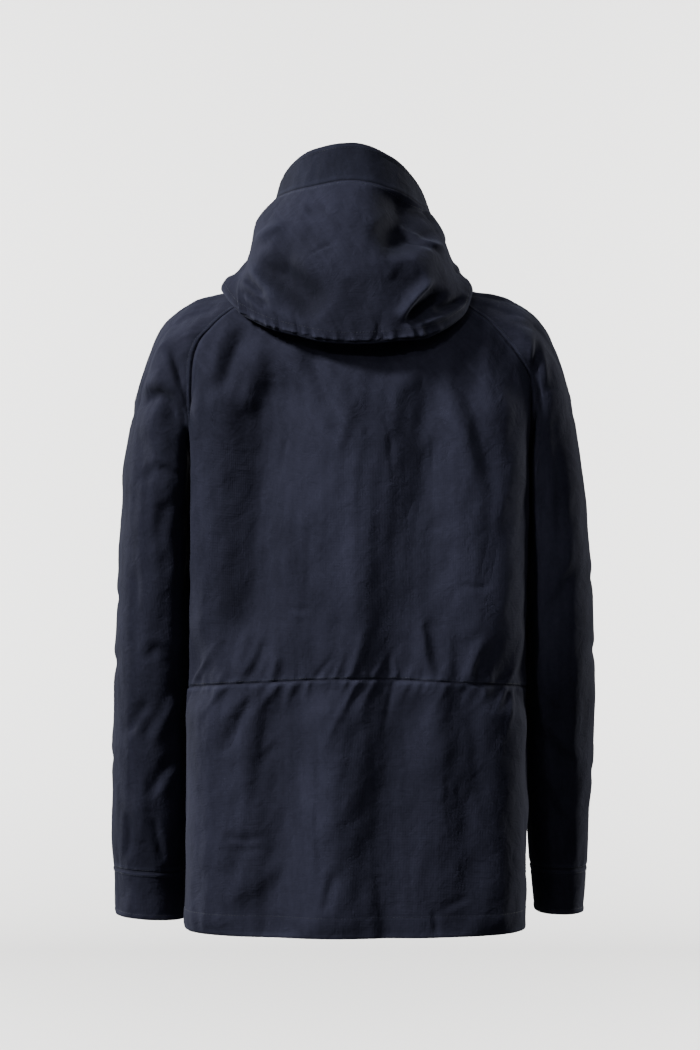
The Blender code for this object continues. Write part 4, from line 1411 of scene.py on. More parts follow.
@dataclass
class Stitching:
    """Rows of lockstitch, each stitch a small bead of thread pressed into the cloth.

    The profile gives the rings of a bead: their places along it and their sizes, as shares.
    """

    length: float = 0.0026
    pitch: float = 0.0034
    radius: float = 0.00024
    sides: int = 6
    profile: tuple[tuple[float, float], ...] = (
        (-0.5, 0.25), (-0.3, 0.9), (0.0, 1.0), (0.3, 0.9), (0.5, 0.25)
    )

    def beads(self, points: Array, normal: Array, clear: float = 0.004) -> Array:
        """The stitches on one line, each a short tube that is thinner at its ends.

        Args:
            points: Points of the line.
            normal: Unit vectors out of the cloth there.
            clear: Length left bare at both ends.

        Returns:
            The points of all the stitches, ring after ring.
        """
        run = step_lengths(points[None], 1)[0]
        places = np.arange(clear, run[-1] - clear, self.pitch)

        def at(values: Array, place: Array) -> Array:
            """Points or vectors of the line, read at places along it."""
            return np.stack([np.interp(place, run, value) for value in values.T], -1)

        middle = at(points, places)
        way = at(points, places + self.length / 2) - at(points, places - self.length / 2)
        way /= np.linalg.norm(way, axis=1, keepdims=True)
        out = at(normal, places)
        out -= way * (out * way).sum(1, keepdims=True)
        out /= np.linalg.norm(out, axis=1, keepdims=True)
        side = np.cross(way, out)
        turn = np.linspace(0, 2 * math.pi, self.sides, endpoint=False)
        rings = []
        for place, size in self.profile:
            centre = middle + way * self.length * place + out * self.radius * (0.45 * size - 0.1)
            circle = side[:, None] * np.cos(turn)[:, None] + out[:, None] * np.sin(turn)[:, None] * 0.8
            rings.append(centre[:, None] + circle * self.radius * size)
        return np.stack(rings, 1).reshape(-1, 3)

    def build(self, name: str, lines: list[tuple[Array, Array]], finish: Material) -> None:
        """Makes one object of every stitch on the given lines.

        Args:
            name: The object's name.
            lines: Points of each line, and unit vectors out of the cloth there.
            finish: The thread's material.
        """
        points = np.concatenate([self.beads(line, normal) for line, normal in lines])
        rings = len(self.profile)
        count = len(points) // (rings * self.sides)
        made = add_mesh(name, points, bead_faces(count, rings, self.sides), finish)
        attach(made, "root")
        LOG.info("%s: %d faces", name, len(made.data.polygons))


def bead_faces(count: int, rings: int, sides: int) -> list[list[int]]:
    """Faces of closed beads.

    Args:
        count: How many beads.
        rings: How many rings of points in each.
        sides: How many points in each ring.

    Returns:
        The points' numbers round each face, bead after bead.
    """
    walls = tube_faces(rings, sides)[:, [0, 3, 2, 1]].tolist()
    ends = [list(range(sides)), list(range((rings - 1) * sides, rings * sides))[::-1]]
    starts = range(0, count * rings * sides, rings * sides)
    return [[corner + start for corner in face] for start in starts for face in walls + ends]


# ---- coat


# Gathers along the seams. At the waist, broad ones come first and then the fine ones between them.
SKIRT_GATHERS = (
    Puckers(spacing=0.0185, length=0.032, depth=0.0042, lean=0.45, seed=11, start=0.03, end=0.97, rise=0.004),
    Puckers(spacing=0.010, length=0.008, depth=0.0015, lean=0.1, seed=13, start=0.03, end=0.97, rise=0.002),
)
YOKE_GATHERS = (
    Puckers(spacing=0.017, length=0.022, depth=0.0034, lean=-0.30, seed=27, start=0.03, end=0.97, rise=0.004),
    Puckers(spacing=0.010, length=0.0075, depth=0.0016, lean=-0.1, seed=23, start=0.03, end=0.97, rise=0.002),
)
HEM_GATHERS = Puckers(spacing=0.016, length=0.020, depth=0.0004, lean=0.1, seed=12)
WRIST_GATHERS = Puckers(spacing=0.013, length=0.016, depth=0.0007, lean=0.1)
CUFF_GATHERS = Puckers(spacing=0.014, length=0.010, depth=0.0004, seed=51)
CROWN_GATHERS = Puckers(spacing=0.011, length=0.014, depth=0.0046, seed=61, start=0.28, end=0.82, rise=0.0015)


def beside_flap(points: Array) -> Array:
    """1 on the open fronts, easing over 20 mm to 0 under the flap's edge, 30 mm from the middle."""
    return ease((np.abs(points[..., 0]) - 0.030) / 0.020)


@dataclass
class BodyPanels:
    """The coat's back, in two panels joined at the waist, and its two fronts.

    Each stitch size is how far that row of stitches lies from its edge (m).
    """

    form: BodyForm
    sleeves: dict[Side, SleeveForm]
    cloth: Material
    thread: Material
    folds: tuple[Folds, ...]
    hem_stitch: float = 0.0235
    waist_stitch: float = 0.0022
    lanes: int = 257

    def build(self) -> None:
        """Makes the four panels and their stitches."""
        lower = self.back_lower()
        upper = self.back_upper()
        fronts = [self.front(side) for side in Side]
        for sheet in (lower, upper, *fronts):
            sheet.build(self.cloth)
        lines = [lower.trail(Edge.FIRST_ROW, self.hem_stitch), upper.trail(Edge.FIRST_ROW, self.waist_stitch)]
        lines += [front.trail(Edge.FIRST_ROW, self.hem_stitch) for front in fronts]
        Stitching().build("stitches_body", lines, self.thread)

    def back_lower(self) -> Sheet:
        """Makes the skirt of the back, from the hem to the waist seam.

        Returns:
            The panel's sheet.
        """
        azimuth = np.linspace(-1, 1, self.lanes) * math.pi / 2
        share = regular(crowded(0.282, coarse=0.0030, fine=0.0016))[:, None]
        height = self.form.hem + (self.form.waist_height(azimuth) - self.form.hem) * share
        grid = np.broadcast_to(azimuth, height.shape)
        points, normal = surface_grid(self.form.point, grid, height)
        return Sheet(
            "cloth_back_lower", points, normal, cut=(0.492, 0.312),
            folds=self.form.hang + self.folds,
            joins={edge: Join.SEAM for edge in Edge} | {Edge.FIRST_ROW: Join.HEM},
            gathers=(*((Edge.LAST_ROW, row) for row in SKIRT_GATHERS), (Edge.FIRST_ROW, HEM_GATHERS)),
            rests_on=("back_upper",),
        )

    def back_upper(self) -> Sheet:
        """Makes the back from the waist seam to the neckline, between the raglan seams.

        Returns:
            The panel's sheet.
        """
        form = self.form
        share = np.linspace(-1, 1, self.lanes)
        chest_steps = crowded(form.underarm - form.waist, coarse=0.0030, fine=0.0016)
        chest = chest_steps[:, None] * (form.underarm - form.waist_height(share * math.pi / 2))
        chest = form.waist_height(share * math.pi / 2) + chest
        angle = np.broadcast_to(share * math.pi / 2, chest.shape)
        seam = np.linspace(form.underarm, form.neck_point, 90)[1:]
        left = form.raglan_azimuth(Side.LEFT, True, seam)[:, None]
        right = form.raglan_azimuth(Side.RIGHT, True, seam)[:, None]
        yoke_angle = right + (left - right) * (share + 1) / 2
        climb = ease((seam[:, None] + 0.075) / (form.neck_point + 0.075))
        yoke = seam[:, None] + (form.neck_height(yoke_angle) - form.neck_point) * climb
        angle, height = np.concatenate([angle, yoke_angle]), np.concatenate([chest, yoke])
        if len(height) % 2 == 0:
            angle, height = np.delete(angle, 3, 0), np.delete(height, 3, 0)
        points, normal = surface_grid(form.point, angle, height)
        return Sheet(
            "cloth_back_upper", points, normal, cut=(0.492, 0.532),
            folds=form.hang + self.folds,
            joins={edge: Join.SEAM for edge in Edge},
            gathers=tuple((Edge.FIRST_ROW, row) for row in YOKE_GATHERS),
            rests_on=("hood_nape",),
            still={Edge.FIRST_COLUMN: 0.018, Edge.LAST_COLUMN: 0.018},
        )

    def front(self, side: Side) -> Sheet:
        """One front, from its side and raglan seams to the closed edge under the flap.

        Args:
            side: Which front.

        Returns:
            The sheet.
        """
        form, sleeve = self.form, self.sleeves[side]
        steps = crowded(form.underarm - form.hem, coarse=0.0042, fine=0.0020)
        side_heights = form.hem + (form.underarm - form.hem) * steps
        turn = 1 - np.linspace(0, 0.5 - sleeve.neck_share, 64)[1:]
        seam_azimuth, seam_height = sleeve.armhole(turn)
        edge_azimuth = np.concatenate([np.full_like(side_heights, side.value * math.pi / 2), seam_azimuth])
        edge_height = np.concatenate([side_heights, seam_height])
        if len(edge_height) % 2 == 0:
            edge_azimuth, edge_height = np.delete(edge_azimuth, 3), np.delete(edge_height, 3)
        climb = (edge_height - form.hem) / (edge_height[-1] - form.hem)
        middle_height = form.hem + climb * (form.neck_height(math.pi) - form.hem)
        share = regular(crowded(0.27, coarse=0.0034, fine=0.0022))
        angle = edge_azimuth[:, None] + (side.value * math.pi - edge_azimuth[:, None]) * share
        height = edge_height[:, None] + (middle_height - edge_height)[:, None] * ease(share)
        last = ease((climb[:, None] - 0.9) / 0.1)
        height = height + (form.neck_height(angle[-1]) - height[-1]) * last
        points, normal = surface_grid(form.point, angle, height)
        return Sheet(
            f"cloth_front_{side.label}", points, normal, cut=(0.300, 0.760),
            folds=form.hang + self.folds,
            joins={edge: Join.SEAM for edge in Edge} | {Edge.FIRST_ROW: Join.HEM},
            gathers=((Edge.FIRST_ROW, replace(HEM_GATHERS, seed=31 + side.value)),),
            rests_on=("hood_side_" + side.label,),
            still={Edge.FIRST_COLUMN: 0.018},
            quiet=beside_flap,
        )


@dataclass
class SleevePanels:
    """One sleeve: its back and front halves, joined under and over the arm, and its cuff.

    Each stitch size is how far that row of stitches lies from its edge (m).
    """

    form: SleeveForm
    cloth: Material
    thread: Material
    folds: tuple[Folds, ...]
    raglan_stitch: float = 0.0060
    end_stitch: float = 0.0020
    cuff_stitch: float = 0.0050
    mouth_stitch: float = 0.0060

    def build(self) -> None:
        """Makes both halves, the cuff and their stitches."""
        back, front, cuff = self.half("back"), self.half("front"), self.cuff()
        for sheet in (back, front, cuff):
            sheet.build(self.cloth)
        label = self.form.side.label
        lines = [half.trail(Edge.FIRST_ROW, self.raglan_stitch) for half in (back, front)]
        lines += [half.trail(Edge.LAST_ROW, self.end_stitch) for half in (back, front)]
        lines += [cuff.trail(Edge.FIRST_ROW, self.cuff_stitch), cuff.trail(Edge.LAST_ROW, self.mouth_stitch)]
        Stitching().build(f"stitches_sleeve_{label}", lines, self.thread)

    def grid(self, turns: Array, down: Array) -> tuple[Array, Array]:
        """Points and outward unit vectors of the sleeve on a grid.

        Args:
            turns: Places round the sleeve, one for each column.
            down: Places down it, one for each row.

        Returns:
            The points, and the unit vectors.
        """
        turns, down = np.broadcast_arrays(turns[None], down[:, None])
        points, normal = surface_grid(self.form.point, turns, down)
        return points, normal * -self.form.side.value

    def half(self, face: str) -> Sheet:
        """The back or the front half, from the armhole to the cuff seam.

        Args:
            face: "back" or "front".

        Returns:
            The sheet.
        """
        seam = np.linspace(0, 0.5 - self.form.neck_share, 91)
        neck = np.linspace(0.5 - self.form.neck_share, 0.5, 13)[1:]
        half = np.concatenate([seam, neck])
        turns = half if face == "back" else 1 - half[::-1]
        head = np.linspace(0, 1, 85) ** 1.15
        arm_length = self.form.head - self.form.cuff_top
        arm_steps = crowded(arm_length, coarse=0.0036, fine=0.0018)[1:]
        arm = 1 + arm_steps * (self.form.down_at(self.form.cuff_top) - 1)
        down = regular(np.concatenate([head, arm]))
        points, normal = self.grid(turns, down)
        return Sheet(
            f"cloth_sleeve_{self.form.side.label}_{face}", points, normal, cut=(0.290, 0.680),
            folds=self.folds,
            joins={edge: Join.SEAM for edge in Edge} | {Edge.FIRST_ROW: Join.FELLED},
            gathers=((Edge.LAST_ROW, replace(WRIST_GATHERS, seed=41 + self.form.side.value)),),
            rests_on=("back_upper" if face == "back" else f"front_{self.form.side.label}",),
            still={Edge.FIRST_ROW: 0.018, Edge.LAST_ROW: 0.006},
            waviness=0.0008,
        )

    def cuff(self) -> Sheet:
        """Makes the cuff, a plain band sewn to the sleeve's end.

        Returns:
            The panel's sheet.
        """
        turns = np.linspace(0, 1, 221)
        height = self.form.cuff_top - self.form.cuff_bottom
        share = regular(crowded(height, coarse=0.0030, fine=0.0016, band=0.012))
        start = self.form.down_at(self.form.cuff_top)
        points, normal = self.grid(turns, start + share * (2 - start))
        return Sheet(
            f"cloth_cuff_{self.form.side.label}", points, normal, cut=(0.330, 0.066),
            joins={Edge.FIRST_ROW: Join.FELLED, Edge.LAST_ROW: Join.TURNED},
            gathers=((Edge.FIRST_ROW, CUFF_GATHERS),),
            rests_on=(f"sleeve_{self.form.side.label}_back",),
        )


@dataclass
class HoodPanels:
    """The lowered hood: nape and crown joined at the bottom fold, visor, and the two side panels.

    Each stitch size is how far that row of stitches lies from its edge (m).
    """

    form: HoodForm
    cloth: Material
    # A darker copy of the cloth, used for the visor as painted shade.
    shaded: Material
    thread: Material
    folds: tuple[Folds, ...]
    hem_stitch: float = 0.011
    visor_stitch: float = 0.004
    edge_stitch: float = 0.006

    def build(self) -> None:
        """Makes the five panels and their stitches; the visor is drawn in a darker copy of the cloth as
        painted shade.
        """
        seam = math.radians(self.form.side_seam)
        middle = (-seam, seam)
        nape = self.panel("nape", middle, (0.0, 1.05), cut=(0.42, 0.11), step=0.0035)
        crown = self.panel("crown", middle, (1.05, 2.0), cut=(0.50, 0.24), step=0.0022)
        visor = self.panel("visor", middle, (2.0, 3.0), cut=(0.36, 0.052), step=0.0022)
        sides = []
        for side in Side:
            ends = sorted((side.value * seam, side.value * math.pi))
            sides.append(self.panel(f"side_{side.label}", ends, (0.0, 3.0), cut=(0.18, 0.14), step=0.0032))
        for sheet in (nape, crown, *sides):
            sheet.build(self.cloth)
        # The visor's darker copy of the cloth is painted shade.
        visor.build(self.shaded)
        lines = [crown.trail(Edge.FIRST_ROW, self.hem_stitch), crown.trail(Edge.LAST_ROW, self.visor_stitch)]
        lines += [sheet.trail(Edge.LAST_ROW, self.edge_stitch) for sheet in (visor, *sides)]
        Stitching().build("stitches_hood", lines, self.thread)

    def panel(
        self,
        name: str,
        ends: tuple[float, float],
        reach: tuple[float, float],
        cut: tuple[float, float],
        step: float,
    ) -> Sheet:
        """One panel of the hood.

        Args:
            name: The panel's name.
            ends: Its first and last azimuth (radians).
            reach: Its first and last place along the hood's sections.
            cut: Its flat size, across and along (m).
            step: Size of the grid's steps (m).

        Returns:
            The sheet.
        """
        width, length = cut
        azimuth = np.linspace(ends[0], ends[1], odd(int(width / step), 2))
        along = reach[0] + (reach[1] - reach[0]) * regular(crowded(length, coarse=step, fine=0.0018))
        grid, place = np.broadcast_arrays(azimuth[None], along[:, None])
        points, normal = surface_grid(self.form.point, grid, place)
        crown, at_neck, at_face = name == "crown", reach[0] == 0.0, reach[1] == 3.0
        return Sheet(
            f"cloth_hood_{name}", points, normal, cut=cut,
            folds=self.folds if name in ("crown", "side_left", "side_right") else (),
            joins={edge: Join.SEAM for edge in Edge} | ({Edge.LAST_ROW: Join.TURNED} if at_face else {}),
            gathers=((Edge.FIRST_ROW, CROWN_GATHERS),) if crown else (),
            rests_on=("back_upper",),
            still={Edge.FIRST_ROW: 0.020, Edge.LAST_ROW: 0.006} if crown else {},
            waviness=0.0006,
            # Strong painted shade in the hood's fold hollows, and paler ridges, part painted highlight.
            handled=1.1,
            tucks={Edge.FIRST_ROW: 0.006} if at_neck else {},
        )


@dataclass
class FlapPanel:
    """The storm flap over the closed fronts and the throat, with its row of snaps."""

    body: BodyForm
    hood: HoodForm
    cloth: Material
    thread: Material
    metal: Material
    half_width: float = 0.030
    thickness: float = 0.0030
    lift: float = 0.0007
    edge_stitch: float = 0.006
    throat_places: tuple[float, ...] = (
        0.42, 0.65, 0.88, 1.0, 1.05, 1.16, 1.28, 1.41, 1.55, 1.7, 1.85, 2.0, 2.5, 3.0
    )
    snap_rows: tuple[int, ...] = (0, 4, 7, 10, 13, 17)
    snap_radius: float = 0.0065
    snap_height: float = 0.0028
    snap_tip: float = 0.98
    snap_sides: int = 40
    snap_profile: tuple[tuple[float, float], ...] = (
        (0.90, 0.0), (1.0, 0.12), (1.0, 0.45), (0.94, 0.72), (0.84, 0.85),
        (0.74, 0.80), (0.66, 0.72), (0.50, 0.78), (0.30, 0.90), (0.12, 0.96),
    )

    def coarse(self) -> tuple[Array, Array]:
        """The flap's guiding rows, from the hem over the closed fronts and up the hood to its edge.

        Returns:
            Four points in each row, and unit vectors out of the flap.
        """
        body, rings = self.body, self.body.rings
        across = np.array([1.0, 0.4, -0.4, -1.0]) * self.half_width
        skirt = np.linspace(body.hem, body.waist, 6)
        chest = np.linspace(body.waist, body.underarm, 6)[1:]
        seam = body.raglan.rows[:, 0]
        front_top = body.neck_height(np.radians(body.raglan.column("front")[-1]))
        raglan = seam[0] + (seam - seam[0]) * (front_top - seam[0]) / (seam[-1] - seam[0])
        edge = np.concatenate([skirt, chest, raglan[1:]])
        climb = (edge - body.hem) / (edge[-1] - body.hem)
        height = (body.hem + climb * (body.neck_height(math.pi) - body.hem))[:-1, None]
        angle = math.pi - np.arctan2(across[None], rings.at("front", height))
        front, front_out = surface_grid(body.point, angle, np.broadcast_to(height, angle.shape))
        around = math.pi - np.arcsin(across / self.hood.pouch.at("fold_out", 180.0))
        grid, place = np.broadcast_arrays(around[None], np.array(self.throat_places)[:, None])
        throat, throat_out = surface_grid(self.throat, grid, place)
        points, out = np.concatenate([front, throat]), np.concatenate([front_out, throat_out])
        return points + out * (self.thickness + self.lift), out

    def throat(self, azimuth: Array, along: Array) -> Array:
        """The hood's surface near the throat, read past 180 degrees as its mirror image."""
        return self.hood.point(np.where(azimuth > math.pi, azimuth - 2 * math.pi, azimuth), along)

    def build(self) -> None:
        """Makes the flap, its stitches and its snaps."""
        points, out = self.coarse()
        rows = np.concatenate([[0], np.cumsum(np.linalg.norm(np.diff(points[:, 1], axis=0), axis=1))])
        place = rows[-1] * regular(crowded(rows[-1], coarse=0.0035, fine=0.0020))
        lanes = np.linspace(0, 3, 31)
        fine, fine_out = (
            read_rows(rows, read_rows(np.arange(4), grid.swapaxes(0, 1), lanes).swapaxes(0, 1), place)
            for grid in (points, out)
        )
        fine_out /= np.linalg.norm(fine_out, axis=-1, keepdims=True)
        sheet = Sheet(
            "cloth_storm_flap", fine, fine_out, cut=(0.064, 0.880),
            joins={edge: Join.TURNED for edge in Edge},
            gathers=(
                (Edge.FIRST_COLUMN, Puckers(spacing=0.017, length=0.012, depth=0.0003, lean=0.1, seed=71)),
                (Edge.LAST_COLUMN, Puckers(spacing=0.019, length=0.012, depth=0.0003, lean=-0.1, seed=72)),
            ),
            wall=0.0028,
            rests_on=("front_left", "front_right"),
            waviness=0.0002,
        )
        sheet.build(self.cloth)
        edges = (Edge.FIRST_COLUMN, Edge.LAST_COLUMN, Edge.FIRST_ROW, Edge.LAST_ROW)
        lines = [sheet.trail(edge, self.edge_stitch) for edge in edges]
        Stitching().build("stitches_flap", lines, self.thread)
        for count, row in enumerate(self.snap_rows):
            corners = points[row : row + 2, 1:3].reshape(-1, 3)
            facet = np.cross(corners[1] - corners[0], corners[2] - corners[0])
            facet *= -np.sign(facet[1]) / np.linalg.norm(facet)
            self.snap(count + 1, facet)

    def snap(self, number: int, out: Array) -> None:
        """One snap cap over its solid, a turned profile with a rolled rim and a shallow dish.

        Args:
            number: The snap's number.
            out: Unit vector out of the flap there.
        """
        low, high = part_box(f"snap_{number}")
        middle = (np.array(low) + np.array(high)) / 2 - out * self.snap_height / 2
        turn = np.linspace(0, 2 * math.pi, self.snap_sides, endpoint=False)
        aside = np.cross(out, [0.0, 0.0, 1.0])
        aside /= np.linalg.norm(aside)
        up = np.cross(aside, out)
        circle = aside * np.cos(turn)[:, None] + up * np.sin(turn)[:, None]
        profile = np.array(self.snap_profile) * (self.snap_radius, self.snap_height)
        radius, rise = profile.T[:, :, None, None]
        points = middle + circle[None] * radius + out * rise
        count, sides = points.shape[:2]
        tip = middle + out * self.snap_tip * self.snap_height
        points = np.concatenate([points.reshape(-1, 3), [middle, tip]])
        side, top = np.arange(sides), (count - 1) * sides
        after = (side + 1) % sides
        base_fan = np.stack([np.full(sides, count * sides), after, side], -1)
        tip_fan = np.stack([np.full(sides, count * sides + 1), top + side, top + after], -1)
        faces = tube_faces(count, sides).tolist() + np.stack([base_fan, tip_fan], 1).reshape(-1, 3).tolist()
        made = add_mesh(f"snap_cap_{number}", points, faces, self.metal)
        made.data.set_sharp_from_angle(angle=math.radians(50))
        face_outward(made)
        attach(made, "root")
        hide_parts(f"snap_{number}")
        LOG.info("%s: %d faces", made.name, len(made.data.polygons))


# ---- studio


Place = tuple[float, float, float]
COAT_MIDDLE = (0.0, 0.0, -0.35)
SOFT_BOXES: list[tuple[str, Place, Place, float, float]] = [  # name, place, aim, size (m), power (W)
    ("key", (2.85, 2.10, 2.25), COAT_MIDDLE, 0.6, 262.0),
    ("fill", (0.2, 4.2, 2.0), COAT_MIDDLE, 2.0, 13.0),
    ("front", (0.0, -3.6, 0.5), COAT_MIDDLE, 1.0, 26.0),
    ("wall_left", (4.2, -2.6, 0.6), (0.6, -6.5, 0.1), 2.4, 930.0),
    ("wall_right", (-4.2, -2.6, 0.6), (-0.6, -6.5, 0.1), 2.4, 930.0),
]
SNOOTED_LAMPS: list[tuple[str, Place, Place, float, float]] = [  # name, place, aim, cone (deg), power (W)
    ("shoulder_pool", (0.8, 3.4, 2.2), (-0.145, 0.04, -0.10), 4.2, 110.0),
    ("hood_pool", (-1.4, 2.2, 2.2), (0.070, 0.10, -0.045), 3.6, 20.0),
    ("upper_pool", (1.6, 4.0, 1.5), (-0.090, 0.11, -0.22), 3.9, 350.0),
    ("middle_pool", (1.6, 4.2, 0.3), (-0.090, 0.11, -0.38), 3.9, 310.0),
    ("lower_pool", (1.6, 4.0, 0.2), (0.030, 0.11, -0.64), 5.0, 170.0),
]


@dataclass
class Studio:
    """Pale paper sweep, soft lights and the camera level with the middle of the back (m)."""

    camera_distance: float = 3.3
    camera_height: float = -0.308
    camera_x: float = 0.0023
    view_height: float = 1.2285
    sensor_mm: float = 36.0
    floor: float = -1.560
    floor_end: float = 7.0
    bend_start: float = -5.0
    bend_radius: float = 1.5
    wall_top: float = 5.0
    half_width: float = 9.0
    lamp_radius: float = 0.10
    room: str = "EDEEF0"
    room_strength: float = 0.095

    def build(self) -> None:
        """Makes the floor, the lights and the camera."""
        self.sweep()
        for lamp in SOFT_BOXES:
            self.light(*lamp)
        for lamp in SNOOTED_LAMPS:
            self.pool(*lamp)
        world = bpy.data.worlds.new("soft_room")
        world.use_nodes = True
        world.node_tree.nodes["Background"].inputs["Color"].default_value = srgb(self.room)
        world.node_tree.nodes["Background"].inputs["Strength"].default_value = self.room_strength
        bpy.context.scene.world = world
        self.camera()

    def sweep(self) -> None:
        """Floor that curves up behind into a wall: a profile of y and z carried across x."""
        turn = np.linspace(0, math.pi / 2, 24)
        bend_y = self.bend_start - self.bend_radius * np.sin(turn)
        bend_z = self.floor + self.bend_radius * (1 - np.cos(turn))
        y = np.concatenate([[self.floor_end], bend_y, [self.bend_start - self.bend_radius]])
        z = np.concatenate([[self.floor], bend_z, [self.wall_top]])
        x = np.array([-self.half_width, self.half_width])
        points = np.stack(np.broadcast_arrays(x[None], y[:, None], z[:, None]), -1)
        made = add_mesh("studio_sweep", points, grid_faces(len(y), 2).tolist(), PaperFinish().make())
        made.visible_diffuse = False
        made.visible_glossy = False

    def light(self, name: str, place: Place, aim: Place, size: float, power: float) -> None:
        """Hangs a square soft box.

        Args:
            name: The light's name.
            place: Where it is.
            aim: What it is turned toward.
            size: Its side (m).
            power: Its power (W).
        """
        data = bpy.data.lights.new(name, "AREA")
        data.energy = power
        data.size = size
        self.hang(name, data, place, aim)

    def pool(self, name: str, place: Place, aim: Place, cone: float, power: float) -> None:
        """Hangs a snooted lamp whose pool of light has a fully soft edge.

        Args:
            name: The light's name.
            place: Where it is.
            aim: What it is turned toward.
            cone: The whole angle of its cone (degrees).
            power: Its power (W).
        """
        data = bpy.data.lights.new(name, "SPOT")
        data.energy = power
        data.spot_size = math.radians(cone)
        data.spot_blend = 1.0
        data.shadow_soft_size = self.lamp_radius
        self.hang(name, data, place, aim)

    def hang(self, name: str, data: Light, place: Place, aim: Place) -> None:
        """Puts a light at a place.

        Args:
            name: The light's name.
            data: The light.
            place: Where it is.
            aim: What it is turned toward.
        """
        made = bpy.data.objects.new(name, data)
        made.location = place
        way = np.array(aim) - np.array(place)
        flat = math.hypot(way[0], way[1])
        made.rotation_euler = (math.pi / 2 - math.atan2(-way[2], flat), 0.0, math.atan2(-way[0], way[1]))
        bpy.context.scene.collection.objects.link(made)

    def camera(self) -> None:
        """A long lens square to the back."""
        data = bpy.data.cameras.new("camera")
        data.sensor_width = self.sensor_mm
        data.lens = self.sensor_mm / 2 / (self.view_height / 2 / self.camera_distance)
        made = bpy.data.objects.new("camera", data)
        made.location = (self.camera_x, self.camera_distance, self.camera_height)
        made.rotation_euler = (math.pi / 2, 0.0, math.pi)
        bpy.context.scene.collection.objects.link(made)
        bpy.context.scene.camera = made


SLEEVE_RINGS = {
    Side.LEFT: Table("height x y half_width half_depth tilt", [
        (-0.773, 0.238, -0.07, 0.043, 0.0495, 0.06),
        (-0.716, 0.2395, -0.067, 0.044, 0.0535, 0.06),
        (-0.64, 0.2355, -0.061, 0.049, 0.061, 0.04),
        (-0.5, 0.232, -0.05, 0.05, 0.072, 0.0),
        (-0.4, 0.2285, -0.041, 0.0495, 0.078, 0.0),
        (-0.3, 0.222, -0.031, 0.0495, 0.0815, 0.0),
        (-0.26, 0.219, -0.028, 0.05, 0.0825, 0.0),
    ]),
    Side.RIGHT: Table("height x y half_width half_depth tilt", [
        (-0.768, 0.246, -0.07, 0.03, 0.0545, 0.0),
        (-0.712, 0.245, -0.067, 0.034, 0.0575, 0.0),
        (-0.62, 0.242, -0.06, 0.042, 0.063, 0.0),
        (-0.5, 0.239, -0.05, 0.048, 0.072, 0.0),
        (-0.4, 0.236, -0.041, 0.049, 0.078, 0.0),
        (-0.3, 0.228, -0.031, 0.048, 0.0815, 0.0),
        (-0.26, 0.224, -0.028, 0.048, 0.0825, 0.0),
    ]),
}

